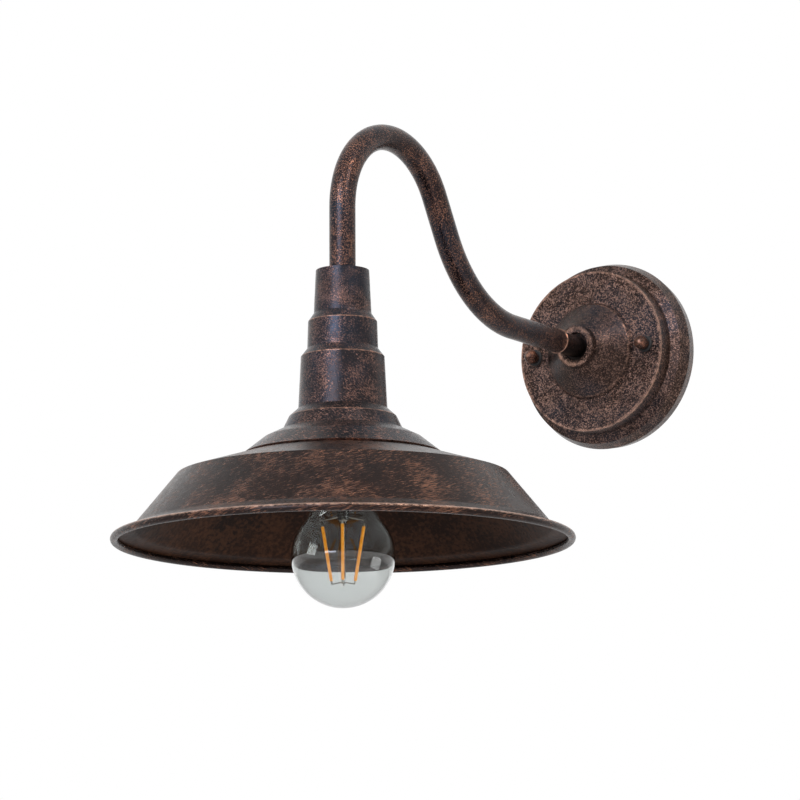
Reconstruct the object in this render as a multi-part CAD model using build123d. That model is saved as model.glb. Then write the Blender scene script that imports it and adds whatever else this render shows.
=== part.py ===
from build123d import *
from math import cos, pi, radians, sin, tan
import os

# Gooseneck wall sconce: a swan-neck tube carries a spun steel shade out from a round
# wall canopy. All sizes are in millimetres. The wall is the plane Y = 0, the light
# stands out along -Y, Z is up, and the origin is the canopy's axis at the wall.

# ---- driving dimensions -------------------------------------------------------------

# gooseneck tube, given by its centre line
arm_reach = 313.0            # wall to the lamp's axis
arm_rise = 92.6              # canopy axis to the top of the crook
crook_radius = 52.6
sweep_radius = 87.0
fall_angle = 59.9            # slope of the straight run between the two bends, degrees
tube_radius = 7.7
tube_wall = 1.2
arm_end_depth = 71.0         # wall to the tube's end at the canopy

# wall canopy, pressed from one sheet; depths are measured out from the wall
canopy_wall = 1.0
canopy_depth = 31.0          # wall to the flat front
canopy_front_radius = 52.9
canopy_groove_radius = 53.6
canopy_groove_depth = 19.5
canopy_ring_radius = 61.7
canopy_ring_depth = 17.0
canopy_ring_shoulder = 2.4   # width of the ring's rounded front edge
canopy_back_radius = 60.0
bell_base_radius = 32.2
bell_crest_radius = 30.4
bell_crest_height = 3.0      # above the flat front
collar_radius = 13.5
collar_base_radius = 14.4
collar_depth = 50.4          # wall to the collar's crest
collar_height = 4.4
collar_hole_radius = 9.4
recess_rounding = 0.3
collar_rounding = 1.9        # both sides of the collar's crest
collar_foot_rounding = 1.2
bell_crest_rounding = 3.2
bell_base_rounding = 1.4
canopy_edge_rounding = 2.2
groove_rounding = 3.2
ring_edge_rounding = 2.6
ring_rounding = 9.0

# fixing bracket behind the canopy
bar_length = 100.0
bar_width = 24.0
bar_thickness = 1.8
bar_step = 3.4               # height of the raised ends, room for the stud heads
bar_flat_half = 33.5
wall_slot_spacing = 52.0
wall_slot_length = 9.0
wall_slot_width = 4.6
cable_hole_radius = 6.0
stud_spacing = 83.2
stud_radius = 2.0            # M4
stud_head_radius = 4.0
stud_head_height = 2.2
stud_depth = 38.5            # wall to the stud's tip
stud_nut_flats = 7.0
stud_nut_height = 3.2
earth_screw_offset = 13.5    # from the canopy axis along the bar
earth_screw_end = 0.2        # stays in front of the wall
earth_lug_thickness = 0.8
earth_lug_barrel = 5.0
earth_lug_wire_depth = 4.5   # of the wire inside the barrel

# ball nuts and their washers
washer_radius = 5.3
washer_height = 2.0
ball_radius = 4.5
ball_neck_radius = 3.4
ball_centre_height = 3.9     # above the washer
ball_bore_depth = 6.5

# terminal block on the bracket
block_length = 28.0
block_width = 11.0
block_height = 13.0
block_offset = 13.5          # from the canopy axis along the bar
pole_spacing = 9.3
pole_radius = 2.2
pole_height = 6.2            # above the bar
pole_wire_depth = 3.0        # of each wire inside its pole
block_screw_sink = 1.0       # screw heads below the block's top

# threaded tube that joins canopy, arm and lampholder
nipple_radius = 5.0          # M10 x 1
nipple_bore_radius = 3.8
locknut_flats = 14.0
locknut_height = 3.5
flat_washer_radius = 8.6
flat_washer_height = 1.0
canopy_nipple_tail = 3.5     # stands out behind its locknut
nipple_engagement = 12.0     # length held in the coupler, and in the arm's bush
coupler_radius = 7.0
coupler_spigot_length = 14.0
coupler_foot_radius = 8.8
coupler_foot_height = 2.5

# stepped cup over the lampholder; each tier widens a little towards its foot
cup_wall = 1.0
cup_top = 1.8                # height of its flat top against the canopy axis
cup_edge_radius = 2.6
tier1_top_radius = 15.6
tier1_foot_radius = 16.8
tier1_height = 25.6
tier2_top_radius = 20.1
tier2_foot_radius = 20.6
tier2_height = 16.0
tier3_top_radius = 24.3
tier3_foot_radius = 25.8
tier3_height = 30.5
tier4_top_radius = 31.2
tier4_foot_radius = 34.8
tier4_height = 7.5
shoulder_drop = 4.8          # height of each shoulder between two tiers
skirt_radius = 57.6
skirt_bend_radius = 46.0
skirt_bend_drop = 5.4
cup_hollow_rounding = 3.0    # at each tier's foot
cup_crest_rounding = 1.3     # at each tier's top edge
skirt_rounding = 40.0

# spun shade
shade_wall = 0.9
crown_height = -101.4        # flat crown against the canopy axis
crown_flat_radius = 36.0
dome_slope = 16.9            # degrees below level
shoulder_inset = 37.4        # rim back to the shoulder
crown_rounding = 12.0
shoulder_rounding = 14.0
cone_foot_rounding = 3.0
cone_slope = 50.8
brim_slope = 20.0
rim_radius = 133.4
rim_height = -156.6          # centre of the rolled edge
rim_bead_radius = 2.25

# lampholder
holder_radius = 19.6
holder_wall = 2.6
holder_cap_top = -54.0
holder_cap_boss = 7.0
holder_cap_boss_radius = 9.0
holder_split = -79.6         # where cap and body meet
holder_mouth = -119.5
holder_flange_radius = 26.0
holder_flange_height = 2.5
holder_ledge_radius = 14.8
holder_ledge_height = 2.0
base_height = 8.0
ring_height = 6.0
ring_cover = 2.0             # left whole behind the grip notches
ring_radius = 25.0
ring_grips = 12
ring_grip_radius = 1.2
terminal_offset = 7.5
terminal_width = 5.0
terminal_height = 6.0
terminal_screw_radius = 1.25
terminal_screw_drop = 2.4     # clamp screw's axis below the terminal's top
terminal_bore_depth = 4.2
clamp_slot_width = 0.5
clamp_slot_depth = 0.8
clamp_hole_start = 0.6        # clamp screw's hole, from the wire's axis
clamp_screw_stand = 1.6       # clamp screw out of the terminal's side
clamp_screw_gap = 0.1         # clamp screw's tip to the wire's hole
tip_well_depth = 2.0          # room for the bulb's tip under the ceramic disc
shell_lip = 5.0               # screw shell's flat top, inwards
shell_rounding = 0.5
tongue_offset = 2.4           # centre contact's stalk from the lamp's axis
tongue_stalk = 1.2
tongue_width = 3.0
tongue_length = 4.8
tongue_thickness = 0.5

# bulb: A60 glass on an E27 cap
bulb_radius = 30.0
bulb_length = 105.0
bulb_centre = -165.6         # height of the ball's centre
bulb_wall = 0.8
neck_radius = 11.4
neck_flare_radius = 14.3
neck_flare_drop = 3.5        # below the cap's mouth
cap_length = 27.0
cap_crest_radius = 13.05
cap_root_radius = 12.15
cap_wall = 0.3
cap_skirt_height = 3.0       # plain ring at the cap's mouth
cap_thread_start = 5.2       # above the cap's mouth
neck_height = 11.0           # glass neck above the cap's mouth
neck_widen_height = 0.8      # above the cap's mouth, where the neck starts to widen
ball_join_angle = 38.0       # up from the ball's middle, where the neck's curve joins it
cap_rounding = 0.4
thread_pitch = 3.629
thread_turns = 4
ridge_start = 0.15           # of the pitch, up to the first crest
ridge_flat = 0.2             # of the pitch, each crest and each root
ridge_flank = 0.3            # of the pitch, from crest to root
tip_radius = 4.7
tip_height = 1.6
tip_rounding = 1.2
insulator_height = 4.6
insulator_edge = 0.8         # straight edge of the insert, and its ledge round the tip
filament_radius = 0.9
filament_count = 4
filament_top_radius = 12.4
filament_foot_radius = 6.5
filament_top = 20.0          # above the ball's centre
filament_foot = -16.5
filament_turn = 33.0         # turn of the first filament about the axis, degrees
lead_radius = 0.35
lead_root_height = 1.0       # above the foot of the stem's wide part
lead_lift = 0.54             # of each lead's end above its filament's top
lead_sink = 0.4              # of each lead's root inside the stem
lead_foot_reach = 0.2        # past each filament's foot
stem_flare_height = 6.0
stem_flare = 1.6             # foot of the flare, wider than the stem
stem_foot_height = 1.0       # above the filaments' tops
stem_taper = 3.0
stem_radius = 3.2
stem_rod_radius = 1.3
driver_thickness = 1.2
capacitor_offset = 3.0
capacitor_radius = 3.2
capacitor_height = 6.0
chip_offset = 5.0
chip_width = 4.0
chip_length = 5.0
chip_height = 1.6

# pan heads of the screws, as shares of each head
pan_crown = 0.45             # of its height: the domed rim, and the slots' depth
pan_slot_width = 0.22        # of its radius
pan_slot_length = 1.1        # of its radius

# wires
wire_radius = 1.1            # 0.75 mm2 core in PVC
wire_offset = 1.5            # each side of the tube's centre line
wire_bend = 8.0
wire_lamp_run = 2.4          # straight out of a terminal, and out of the threaded tube
wire_tail = 2.0              # straight, behind the canopy's threaded tube
wire_lead_in = 3.0           # after that, up to where the two wires part
wire_pole_run = 12.0         # straight out from the block's pole
wire_wall_bend = 5.0
earth_wire_bend = 6.0
earth_pole_run = 6.2         # straight out of the pole
earth_lug_run = 5.8          # straight into the lug
earth_wire_seat = 2.6        # wire's end inside the barrel, from the screw head's edge

# clearances
thread_gap = 0.03            # between screwed parts of one assembly
running_gap = 0.06           # nut or washer that moves on its stud
slip_gap = 0.4               # hole over a thread that passes through
seam_gap = 0.2               # lap of the cup's skirt over the shade
shell_gap = 0.25             # bulb cap inside the lampholder's screw shell
contact_gap = 0.15           # centre contact to the bulb's tip
wire_gap = 0.1

# ---- places worked out from the sizes ------------------------------------------------

crook_height = arm_rise - crook_radius
bulb_tip = bulb_centre - bulb_radius + bulb_length
cap_mouth = bulb_tip - cap_length
washer_face = canopy_depth + washer_height
recess_depth = collar_depth - collar_height
shoulder_radius = rim_radius - shoulder_inset
tube_bore = tube_radius - tube_wall
nipple_hole = nipple_radius + slip_gap
bar_face = bar_thickness
pole_depth = bar_face + pole_height

at_lamp = Pos(0, -arm_reach, 0)
from_wall = Rot(90, 0, 0)    # turns a height into a distance out from the wall


# ---- shared shapes -------------------------------------------------------------------

def turned(*faces):
    """Solid of revolution about Z from faces drawn as (radius, height)."""
    outline = faces[0]
    for face in faces[1:]:
        outline += face
    return revolve(Plane.XZ * outline, Axis.Z)


def parallel_corner(before, corner, after, radius, wall):
    """Corner of a line drawn one wall to the right of another, with its rounding."""
    come = (corner - before).normalized()
    leave = (after - corner).normalized()
    right = Vector(come.Y, -come.X) + Vector(leave.Y, -leave.X)
    turn = come.X * leave.Y - come.Y * leave.X
    place = corner + right * (wall / (1 + come.dot(leave)))
    return place, radius + wall if turn > 0 else max(radius - wall, 0)


def sheet_face(points, radii, wall):
    """Even wall along an outline of (radius, height), on the right as it is walked."""
    near = [Vector(*point) for point in points]
    start = (near[1] - near[0]).normalized()
    end = (near[-1] - near[-2]).normalized()
    far = [near[0] + Vector(start.Y, -start.X) * wall]
    far_radii = []
    for before, corner, after, radius in zip(near, near[1:], near[2:], radii):
        place, rounding = parallel_corner(before, corner, after, radius, wall)
        far.append(place)
        far_radii.append(rounding)
    far.append(near[-1] + Vector(end.Y, -end.X) * wall)
    rounding = [0, *radii, 0, 0, *reversed(far_radii), 0]
    return make_face(FilletPolyline(*near, *reversed(far), radius=rounding, close=True))


def rod(radius, low, high):
    """Upright round bar between two heights."""
    return Pos(0, 0, low) * Cylinder(radius, high - low, align=(Align.CENTER, Align.CENTER, Align.MIN))


def sleeve(outer, inner, low, high):
    """Upright round tube between two heights."""
    return rod(outer, low, high) - rod(inner, low, high)


def block(width, depth, low, high):
    """Upright square bar between two heights."""
    return Pos(0, 0, low) * Box(width, depth, high - low, align=(Align.CENTER, Align.CENTER, Align.MIN))


def hex_nut(flats, hole, low, high):
    """Hexagon nut with its corners turned off at both faces."""
    height = high - low
    corner = flats / 2 / cos(pi / 6)
    trim = (corner - flats / 2) * tan(pi / 6)
    hexagon = RegularPolygon(flats / 2, 6, major_radius=False)
    prism = Pos(0, 0, low) * extrude(hexagon, height)
    outline = Polyline(
        (0, low),
        (flats / 2, low),
        (corner, low + trim),
        (corner, high - trim),
        (flats / 2, high),
        (0, high),
        close=True,
    )
    return (prism & turned(make_face(outline))) - rod(hole, low, high)


def pan_screw(head_radius, head_height, shank_radius, low, seat, tip):
    """Screw with a domed, cross-slotted head from low to seat, and a shank up to tip."""
    crown = head_height * pan_crown
    outline = FilletPolyline(
        (0, low),
        (head_radius, low),
        (head_radius, seat),
        (0, seat),
        radius=(crown, 0),
    )
    head = turned(make_face(outline + Line((0, seat), (0, low))))
    slot = head_radius * pan_slot_width
    span = head_radius * pan_slot_length
    cross = block(span, slot, low, low + crown)
    cross += block(slot, span, low, low + crown)
    return head - cross + rod(shank_radius, seat, tip)


def mirrored(solid):
    """Copy on the other side of the plane X = 0."""
    return mirror(solid, about=Plane.YZ)


# ---- arm -----------------------------------------------------------------------------

def arm_edges(side, lamp_end, wall_end):
    """Centre line from the lamp up, over the crook and back to the wall, at X = side."""
    slope = radians(fall_angle)
    crook_y = -arm_reach + crook_radius

    def crook_point(turn):
        return (side, crook_y - crook_radius * cos(turn), crook_height + crook_radius * sin(turn))

    fall_start = crook_point(pi / 2 + slope)
    sweep_drop = sweep_radius * (1 - cos(slope))
    run = (fall_start[2] - sweep_drop) / sin(slope)
    fall_end_y = fall_start[1] + run * cos(slope)
    sweep_y = fall_end_y + sweep_radius * sin(slope)

    def sweep_point(turn):
        return (side, sweep_y - sweep_radius * sin(turn), sweep_radius * (1 - cos(turn)))

    leg_top = crook_point(0)
    return [
        Line((side, -arm_reach, lamp_end), leg_top),
        ThreePointArc(leg_top, crook_point((pi / 2 + slope) / 2), fall_start),
        Line(fall_start, sweep_point(slope)),
        ThreePointArc(sweep_point(slope), sweep_point(slope / 2), sweep_point(0)),
        Line(sweep_point(0), (side, -wall_end, 0)),
    ]


def swept_round(radius, edges):
    """Round bar along a line of tangent edges."""
    path = Wire([edge for group in edges for edge in group.edges()])
    section = Plane(origin=path @ 0, z_dir=path % 0) * Circle(radius)
    return sweep(section, path=path)


def gooseneck_arm():
    """Bent steel tube from the cup's top to the coupler at the canopy."""
    edges = arm_edges(0, cup_top, arm_end_depth)
    return swept_round(tube_radius, edges) - swept_round(tube_bore, edges)


def arm_end_bush():
    """Threaded bush brazed into the tube's lower end."""
    return at_lamp * sleeve(tube_bore, nipple_radius + thread_gap, cup_top, cup_top + nipple_engagement)


def arm_coupler():
    """Turned plug: a foot on the canopy, a dark neck, and a spigot inside the tube."""
    foot = recess_depth + coupler_foot_height
    tip = arm_end_depth + coupler_spigot_length
    plug = rod(coupler_foot_radius, recess_depth, foot)
    plug += rod(coupler_radius, foot, arm_end_depth)
    plug += rod(tube_bore, arm_end_depth, tip)
    bore = rod(nipple_radius + thread_gap, recess_depth, recess_depth + nipple_engagement)
    bore += rod(nipple_bore_radius, recess_depth, tip)
    return from_wall * (plug - bore)


# ---- wall canopy and what holds it ------------------------------------------------------

def wall_canopy():
    """Pressed steel cover: flat front, raised bell with a collar, and a wider back ring."""
    points = (
        (nipple_hole, recess_depth),
        (collar_hole_radius, recess_depth),
        (collar_hole_radius, collar_depth),
        (collar_radius, collar_depth),
        (collar_base_radius, recess_depth + canopy_wall),
        (bell_crest_radius, canopy_depth + bell_crest_height),
        (bell_base_radius, canopy_depth),
        (canopy_front_radius, canopy_depth),
        (canopy_groove_radius, canopy_groove_depth),
        (canopy_ring_radius - canopy_ring_shoulder, canopy_ring_depth),
        (canopy_ring_radius, canopy_ring_depth / 2),
        (canopy_back_radius, 0),
    )
    radii = (
        recess_rounding,
        collar_rounding,
        collar_rounding,
        collar_foot_rounding,
        bell_crest_rounding,
        bell_base_rounding,
        canopy_edge_rounding,
        groove_rounding,
        ring_edge_rounding,
        ring_rounding,
    )
    shell = turned(sheet_face(points, radii, canopy_wall))
    holes = Pos(stud_spacing / 2, 0, 0) * rod(stud_radius + slip_gap, 0, collar_depth)
    holes += Pos(-stud_spacing / 2, 0, 0) * rod(stud_radius + slip_gap, 0, collar_depth)
    return from_wall * (shell - holes)


def canopy_washer():
    """Flat washer behind the canopy's recess."""
    back = recess_depth - canopy_wall
    return from_wall * sleeve(flat_washer_radius, nipple_hole, back - flat_washer_height, back)


def canopy_locknut():
    """Nut that clamps the canopy between the coupler and the washer."""
    seat = recess_depth - canopy_wall - flat_washer_height
    return from_wall * hex_nut(locknut_flats, nipple_radius + thread_gap, seat - locknut_height, seat)


def canopy_nipple_end():
    """Distance of the canopy nipple's tail from the wall."""
    return recess_depth - canopy_wall - flat_washer_height - locknut_height - canopy_nipple_tail


def canopy_nipple():
    """Threaded tube from the coupler back through the canopy."""
    tip = recess_depth + nipple_engagement
    return from_wall * sleeve(nipple_radius, nipple_bore_radius, canopy_nipple_end(), tip)


def crossbar():
    """Fixing strap on the wall: flat middle, ends stepped forward over the stud heads."""
    half = bar_length / 2
    line = (
        (-half, -bar_step),
        (-bar_flat_half - bar_step, -bar_step),
        (-bar_flat_half, 0),
        (bar_flat_half, 0),
        (bar_flat_half + bar_step, -bar_step),
        (half, -bar_step),
    )
    strip = sheet_face(line, [0] * (len(line) - 2), bar_thickness)
    strap = extrude(strip, bar_width / 2, both=True)
    plan = RectangleRounded(bar_length, bar_width, bar_width / 4)
    strap &= extrude(Plane.XZ * plan, bar_step + bar_thickness)
    cut = rod(cable_hole_radius, 0, canopy_depth)
    cut += Pos(earth_screw_offset, 0, 0) * rod(stud_radius + thread_gap, 0, canopy_depth)
    for side in (-1, 1):
        slot = SlotOverall(wall_slot_length, wall_slot_width)
        cut += Pos(side * wall_slot_spacing / 2, 0, 0) * extrude(slot, canopy_depth)
        cut += Pos(side * stud_spacing / 2, 0, 0) * rod(stud_radius + thread_gap, 0, canopy_depth)
    return strap - from_wall * cut


def crossbar_studs():
    """Two M4 screws that stand out of the strap, heads behind it."""
    low = bar_step - stud_head_height
    stud = pan_screw(stud_head_radius, stud_head_height, stud_radius, low, bar_step, stud_depth)
    stud = from_wall * Pos(stud_spacing / 2, 0, 0) * stud
    return [stud, mirrored(stud)]


def stud_nuts():
    """Nuts that lock the two studs on the strap."""
    seat = bar_step + bar_thickness
    nut = hex_nut(stud_nut_flats, stud_radius + thread_gap, seat, seat + stud_nut_height)
    nut = from_wall * Pos(stud_spacing / 2, 0, 0) * nut
    return [nut, mirrored(nut)]


def ball_nut():
    """Round decorative nut with a blind threaded hole, on the right-hand stud."""
    ball_centre = washer_face + ball_centre_height
    nut = Pos(0, 0, ball_centre) * Sphere(ball_radius)
    nut += rod(ball_neck_radius, washer_face, ball_centre)
    nut -= rod(ball_radius * 2, 0, washer_face)
    nut -= rod(stud_radius + running_gap, washer_face, washer_face + ball_bore_depth)
    return from_wall * Pos(stud_spacing / 2, 0, 0) * nut


def nut_washer():
    """Black washer between the ball nut and the canopy, on the right-hand stud."""
    disc = sleeve(washer_radius, stud_radius + running_gap, canopy_depth, washer_face)
    rim = disc.faces().sort_by(Axis.Z)[-1].outer_wire().edges()
    disc = chamfer(rim, washer_height / 4)
    return from_wall * Pos(stud_spacing / 2, 0, 0) * disc


# ---- wiring behind the canopy --------------------------------------------------------------

def pole_places():
    """Heights of the terminal block's three poles."""
    return [pole_spacing, 0, -pole_spacing]


def terminal_block():
    """Nylon block on the strap, with a through hole and two screw wells for each pole."""
    body = Pos(-block_offset, -bar_face, 0) * Box(
        block_width, block_height, block_length, align=(Align.CENTER, Align.MAX, Align.CENTER)
    )
    for height in pole_places():
        across = Pos(-block_offset, -pole_depth, height) * Rot(0, 90, 0)
        body -= across * Cylinder(pole_radius, block_width)
        for side in (-1, 1):
            well = Pos(-block_offset + side * block_width / 4, 0, height) * from_wall
            body -= well * rod(terminal_screw_radius + wire_gap, pole_depth, bar_face + block_height)
    return body


def pole_insert(height):
    """Brass tube of one pole, drilled for its two clamp screws."""
    across = Pos(-block_offset, -pole_depth, height) * Rot(0, 90, 0)
    tube = across * (Cylinder(pole_radius, block_width) - Cylinder(wire_radius + wire_gap, block_width))
    for side in (-1, 1):
        well = Pos(-block_offset + side * block_width / 4, 0, height) * from_wall
        tube -= well * rod(terminal_screw_radius, pole_depth, bar_face + block_height)
    return tube


def terminal_block_inserts():
    """Three brass poles."""
    return [pole_insert(height) for height in pole_places()]


def terminal_block_screws():
    """Two clamp screws for each pole, with a slot in the head."""
    seat = pole_depth + wire_radius + wire_gap
    head = bar_face + block_height - block_screw_sink
    slot = block(terminal_screw_radius * 2, clamp_slot_width, head - clamp_slot_depth, head)
    screw = rod(terminal_screw_radius, seat, head) - slot
    places = [(side, height) for height in pole_places() for side in (-1, 1)]
    return [
        Pos(-block_offset + side * block_width / 4, 0, height) * from_wall * screw
        for side, height in places
    ]


def earth_screw():
    """Earth screw through the lug and the strap."""
    lug = bar_face + earth_lug_thickness
    head = -lug - stud_head_height
    screw = pan_screw(stud_head_radius, stud_head_height, stud_radius, head, -lug, -earth_screw_end)
    return Pos(earth_screw_offset, 0, 0) * Rot(-90, 0, 0) * screw


def earth_lug():
    """Ring tongue on the earth wire's end, under the earth screw."""
    ring = sleeve(stud_head_radius, stud_radius + thread_gap, bar_face, bar_face + earth_lug_thickness)
    height = wire_radius + earth_lug_thickness
    barrel = Pos(-stud_head_radius - earth_lug_barrel / 2, 0, bar_face + height) * Rot(0, 90, 0)
    barrel *= Cylinder(height, earth_lug_barrel)
    neck = Pos(-stud_head_radius, 0, bar_face) * Box(
        height, height, earth_lug_thickness, align=(Align.CENTER, Align.CENTER, Align.MIN)
    )
    lug = ring + barrel + neck
    bore = Pos(-stud_head_radius - earth_lug_barrel, 0, bar_face + height) * Rot(0, 90, 0)
    lug -= bore * Cylinder(wire_radius + wire_gap / 2, earth_lug_wire_depth * 2)
    return Pos(earth_screw_offset, 0, 0) * from_wall * lug


def path_edges(points, radius):
    """Straight runs joined by tangent arcs of one radius."""
    return [FilletPolyline(*points, radius=[radius] * (len(points) - 2))]


def wire(side):
    """Insulated lead from the terminal block to the lampholder, one side of the tube."""
    shift = side * wire_offset
    height = side * pole_spacing
    tail = canopy_nipple_end() - wire_tail
    entry = -block_offset + block_width / 2 - pole_wire_depth
    wall_points = (
        (shift, -tail, 0),
        (shift, wire_lead_in - tail, 0),
        (shift, -(pole_depth + wire_pole_run), height),
        (shift, -pole_depth, height),
        (entry, -pole_depth, height),
    )
    foot = holder_split + terminal_height - terminal_bore_depth + wire_gap
    lamp_points = (
        (side * terminal_offset, -arm_reach, foot),
        (side * terminal_offset, -arm_reach, holder_split + terminal_height + wire_lamp_run),
        (shift, -arm_reach, holder_cap_top - holder_cap_boss - wire_lamp_run),
        (shift, -arm_reach, holder_cap_top),
    )
    edges = path_edges(lamp_points, wire_bend)
    edges += arm_edges(shift, holder_cap_top, tail)
    edges += path_edges(wall_points, wire_wall_bend)
    return swept_round(wire_radius, edges)


def earth_wire():
    """Short link from the block's middle pole to the earth lug."""
    entry = -block_offset + block_width / 2 - pole_wire_depth
    lug_end = earth_screw_offset - stud_head_radius - earth_wire_seat
    low = bar_face + wire_radius + earth_lug_thickness
    points = (
        (entry, -pole_depth, 0),
        (entry + earth_pole_run, -pole_depth, 0),
        (lug_end - earth_lug_run, -low, 0),
        (lug_end, -low, 0),
    )
    return swept_round(wire_radius, path_edges(points, earth_wire_bend))


# ---- cup and shade ---------------------------------------------------------------------------

def dome_height(radius):
    """Height of the shade's dome at a radius."""
    return crown_height - (radius - crown_flat_radius) * tan(radians(dome_slope))


def stepped_cup():
    """Spun cup in four tiers, whose skirt laps over the shade."""
    foot1 = cup_top - tier1_height
    top2 = foot1 - shoulder_drop
    foot2 = top2 - tier2_height
    top3 = foot2 - shoulder_drop
    foot3 = top3 - tier3_height
    top4 = foot3 - shoulder_drop
    foot4 = top4 - tier4_height
    edge = dome_height(skirt_radius) + seam_gap + cup_wall
    points = (
        (nipple_hole, cup_top),
        (tier1_top_radius, cup_top),
        (tier1_foot_radius, foot1),
        (tier2_top_radius, top2),
        (tier2_foot_radius, foot2),
        (tier3_top_radius, top3),
        (tier3_foot_radius, foot3),
        (tier4_top_radius, top4),
        (tier4_foot_radius, foot4),
        (skirt_bend_radius, foot4 - skirt_bend_drop),
        (skirt_radius, edge),
    )
    step = (cup_hollow_rounding, cup_crest_rounding)
    radii = (cup_edge_radius, *step, *step, *step, cup_hollow_rounding, skirt_rounding)
    return at_lamp * turned(sheet_face(points, radii, cup_wall))


def shade():
    """Spun steel shade: flat crown, low dome, steep cone and a brim with a rolled edge."""
    brim = radians(brim_slope)
    bead_radius = rim_radius - rim_bead_radius
    shoulder_height = dome_height(shoulder_radius)
    touch = (bead_radius + rim_bead_radius * sin(brim), rim_height + rim_bead_radius * cos(brim))
    cone_fall = tan(radians(cone_slope))
    brim_fall = tan(brim)
    gap = touch[1] + touch[0] * brim_fall - shoulder_height - shoulder_radius * cone_fall
    foot_radius = gap / (brim_fall - cone_fall)
    foot_height = shoulder_height - (foot_radius - shoulder_radius) * cone_fall
    points = (
        (holder_radius + slip_gap, crown_height),
        (crown_flat_radius, crown_height),
        (shoulder_radius, shoulder_height),
        (foot_radius, foot_height),
        touch,
    )
    wall = sheet_face(points, (crown_rounding, shoulder_rounding, cone_foot_rounding), shade_wall)
    bead = Pos(bead_radius, rim_height) * Circle(rim_bead_radius)
    return at_lamp * turned(wall, bead)


def cup_washer():
    """Flat washer under the cup's top."""
    seat = cup_top - cup_wall
    return at_lamp * sleeve(flat_washer_radius, nipple_hole, seat - flat_washer_height, seat)


def cup_locknut():
    """Nut that clamps the cup up against the tube's end."""
    seat = cup_top - cup_wall - flat_washer_height
    return at_lamp * hex_nut(locknut_flats, nipple_radius + thread_gap, seat - locknut_height, seat)


def lamp_nipple():
    """Long threaded tube from the arm's bush down to the lampholder's cap."""
    foot = holder_cap_top - holder_cap_boss
    return at_lamp * sleeve(nipple_radius, nipple_bore_radius, foot, cup_top + nipple_engagement)


# ---- lampholder ------------------------------------------------------------------------------

def holder_locknut():
    """Nut that locks the lampholder's cap on the threaded tube."""
    return at_lamp * hex_nut(
        locknut_flats, nipple_radius + thread_gap, holder_cap_top, holder_cap_top + locknut_height
    )


def lampholder_cap():
    """Moulded upper half of the lampholder with a threaded entry."""
    boss_foot = holder_cap_top - holder_cap_boss
    inner = holder_radius - holder_wall
    outer = FilletPolyline(
        (0, holder_cap_top),
        (holder_cap_boss_radius, holder_cap_top),
        (holder_radius, boss_foot),
        (holder_radius, holder_split),
        (inner, holder_split),
        (inner, boss_foot - holder_wall),
        (holder_cap_boss_radius, boss_foot),
        (0, boss_foot),
        radius=(1.0, 4.0, 0, 0, 2.0, 1.0),
    )
    solid = turned(make_face(outer + Line((0, boss_foot), (0, holder_cap_top))))
    return at_lamp * (solid - rod(nipple_radius + thread_gap, boss_foot, holder_cap_top))


def lampholder_body():
    """Moulded lower half: a sleeve with the flange that the shade hangs on."""
    inner = holder_radius - holder_wall
    ledge = holder_split - base_height
    sleeve_part = sleeve(holder_radius, inner, holder_mouth, holder_split)
    flange = sleeve(holder_flange_radius, inner, crown_height, crown_height + holder_flange_height)
    ledge_ring = sleeve(holder_radius, holder_ledge_radius, ledge - holder_ledge_height, ledge)
    return at_lamp * (sleeve_part + flange + ledge_ring)


def shade_ring():
    """Screwed ring that clamps the shade's crown to the flange, with grip notches."""
    top = crown_height - shade_wall
    ring = sleeve(ring_radius, holder_radius + thread_gap, top - ring_height, top)
    grip = Pos(ring_radius, 0, 0) * rod(ring_grip_radius, top - ring_height, top - ring_cover)
    for index in range(ring_grips):
        ring -= Rot(0, 0, index * 360 / ring_grips) * grip
    return at_lamp * ring


def contact_base():
    """Ceramic disc that carries the contacts and terminals."""
    low = holder_split - base_height
    disc = rod(holder_radius - holder_wall - wire_gap, low, holder_split)
    disc -= rod(tip_radius, low, low + tip_well_depth)
    return at_lamp * disc


def centre_contact():
    """Sprung brass tongue that meets the bulb's tip."""
    root = holder_split - base_height + tip_well_depth
    low = bulb_tip + contact_gap
    high = low + tongue_thickness
    pad_offset = tongue_offset + tongue_stalk / 2 - tongue_length / 2
    stalk = Pos(tongue_offset, 0, 0) * block(tongue_stalk, tongue_width, high, root)
    pad = Pos(pad_offset, 0, 0) * block(tongue_length, tongue_width, low, high)
    return at_lamp * (stalk + pad)


def ridge_points(low, crest, root):
    """Rolled ridges at the thread's pitch: crest and root radii in turn, upwards."""
    points = []
    for turn in range(thread_turns):
        crest_low = low + (turn + ridge_start) * thread_pitch
        root_low = crest_low + (ridge_flat + ridge_flank) * thread_pitch
        points.append((crest, crest_low))
        points.append((crest, crest_low + ridge_flat * thread_pitch))
        points.append((root, root_low))
        points.append((root, root_low + ridge_flat * thread_pitch))
    return points[:-1]


def screw_shell():
    """Rolled brass shell that takes the bulb's cap, hung under the ceramic disc."""
    root = cap_crest_radius + shell_gap
    crest = root + (cap_crest_radius - cap_root_radius)
    top = holder_split - base_height
    points = [(root, cap_mouth + cap_thread_start / 2)]
    points += ridge_points(cap_mouth + cap_thread_start, crest, root)
    points += [(root, top - cap_wall), (root - shell_lip, top - cap_wall)]
    return at_lamp * turned(sheet_face(points, [shell_rounding] * (len(points) - 2), cap_wall))


def holder_terminals():
    """Two brass blocks on the ceramic disc, each drilled for its wire and screw."""
    body = block(terminal_width, terminal_width, holder_split, holder_split + terminal_height)
    top = holder_split + terminal_height
    body -= rod(wire_radius + wire_gap / 2, top - terminal_bore_depth, top)
    hole = rod(terminal_screw_radius, clamp_hole_start, clamp_hole_start + terminal_width / 2)
    body -= Pos(0, 0, terminal_screw_height()) * from_wall * hole
    body = at_lamp * Pos(terminal_offset, 0, 0) * body
    return [body, mirrored(body)]


def terminal_screw_height():
    """Height of the clamp screws' axis."""
    return holder_split + terminal_height - terminal_screw_drop


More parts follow.
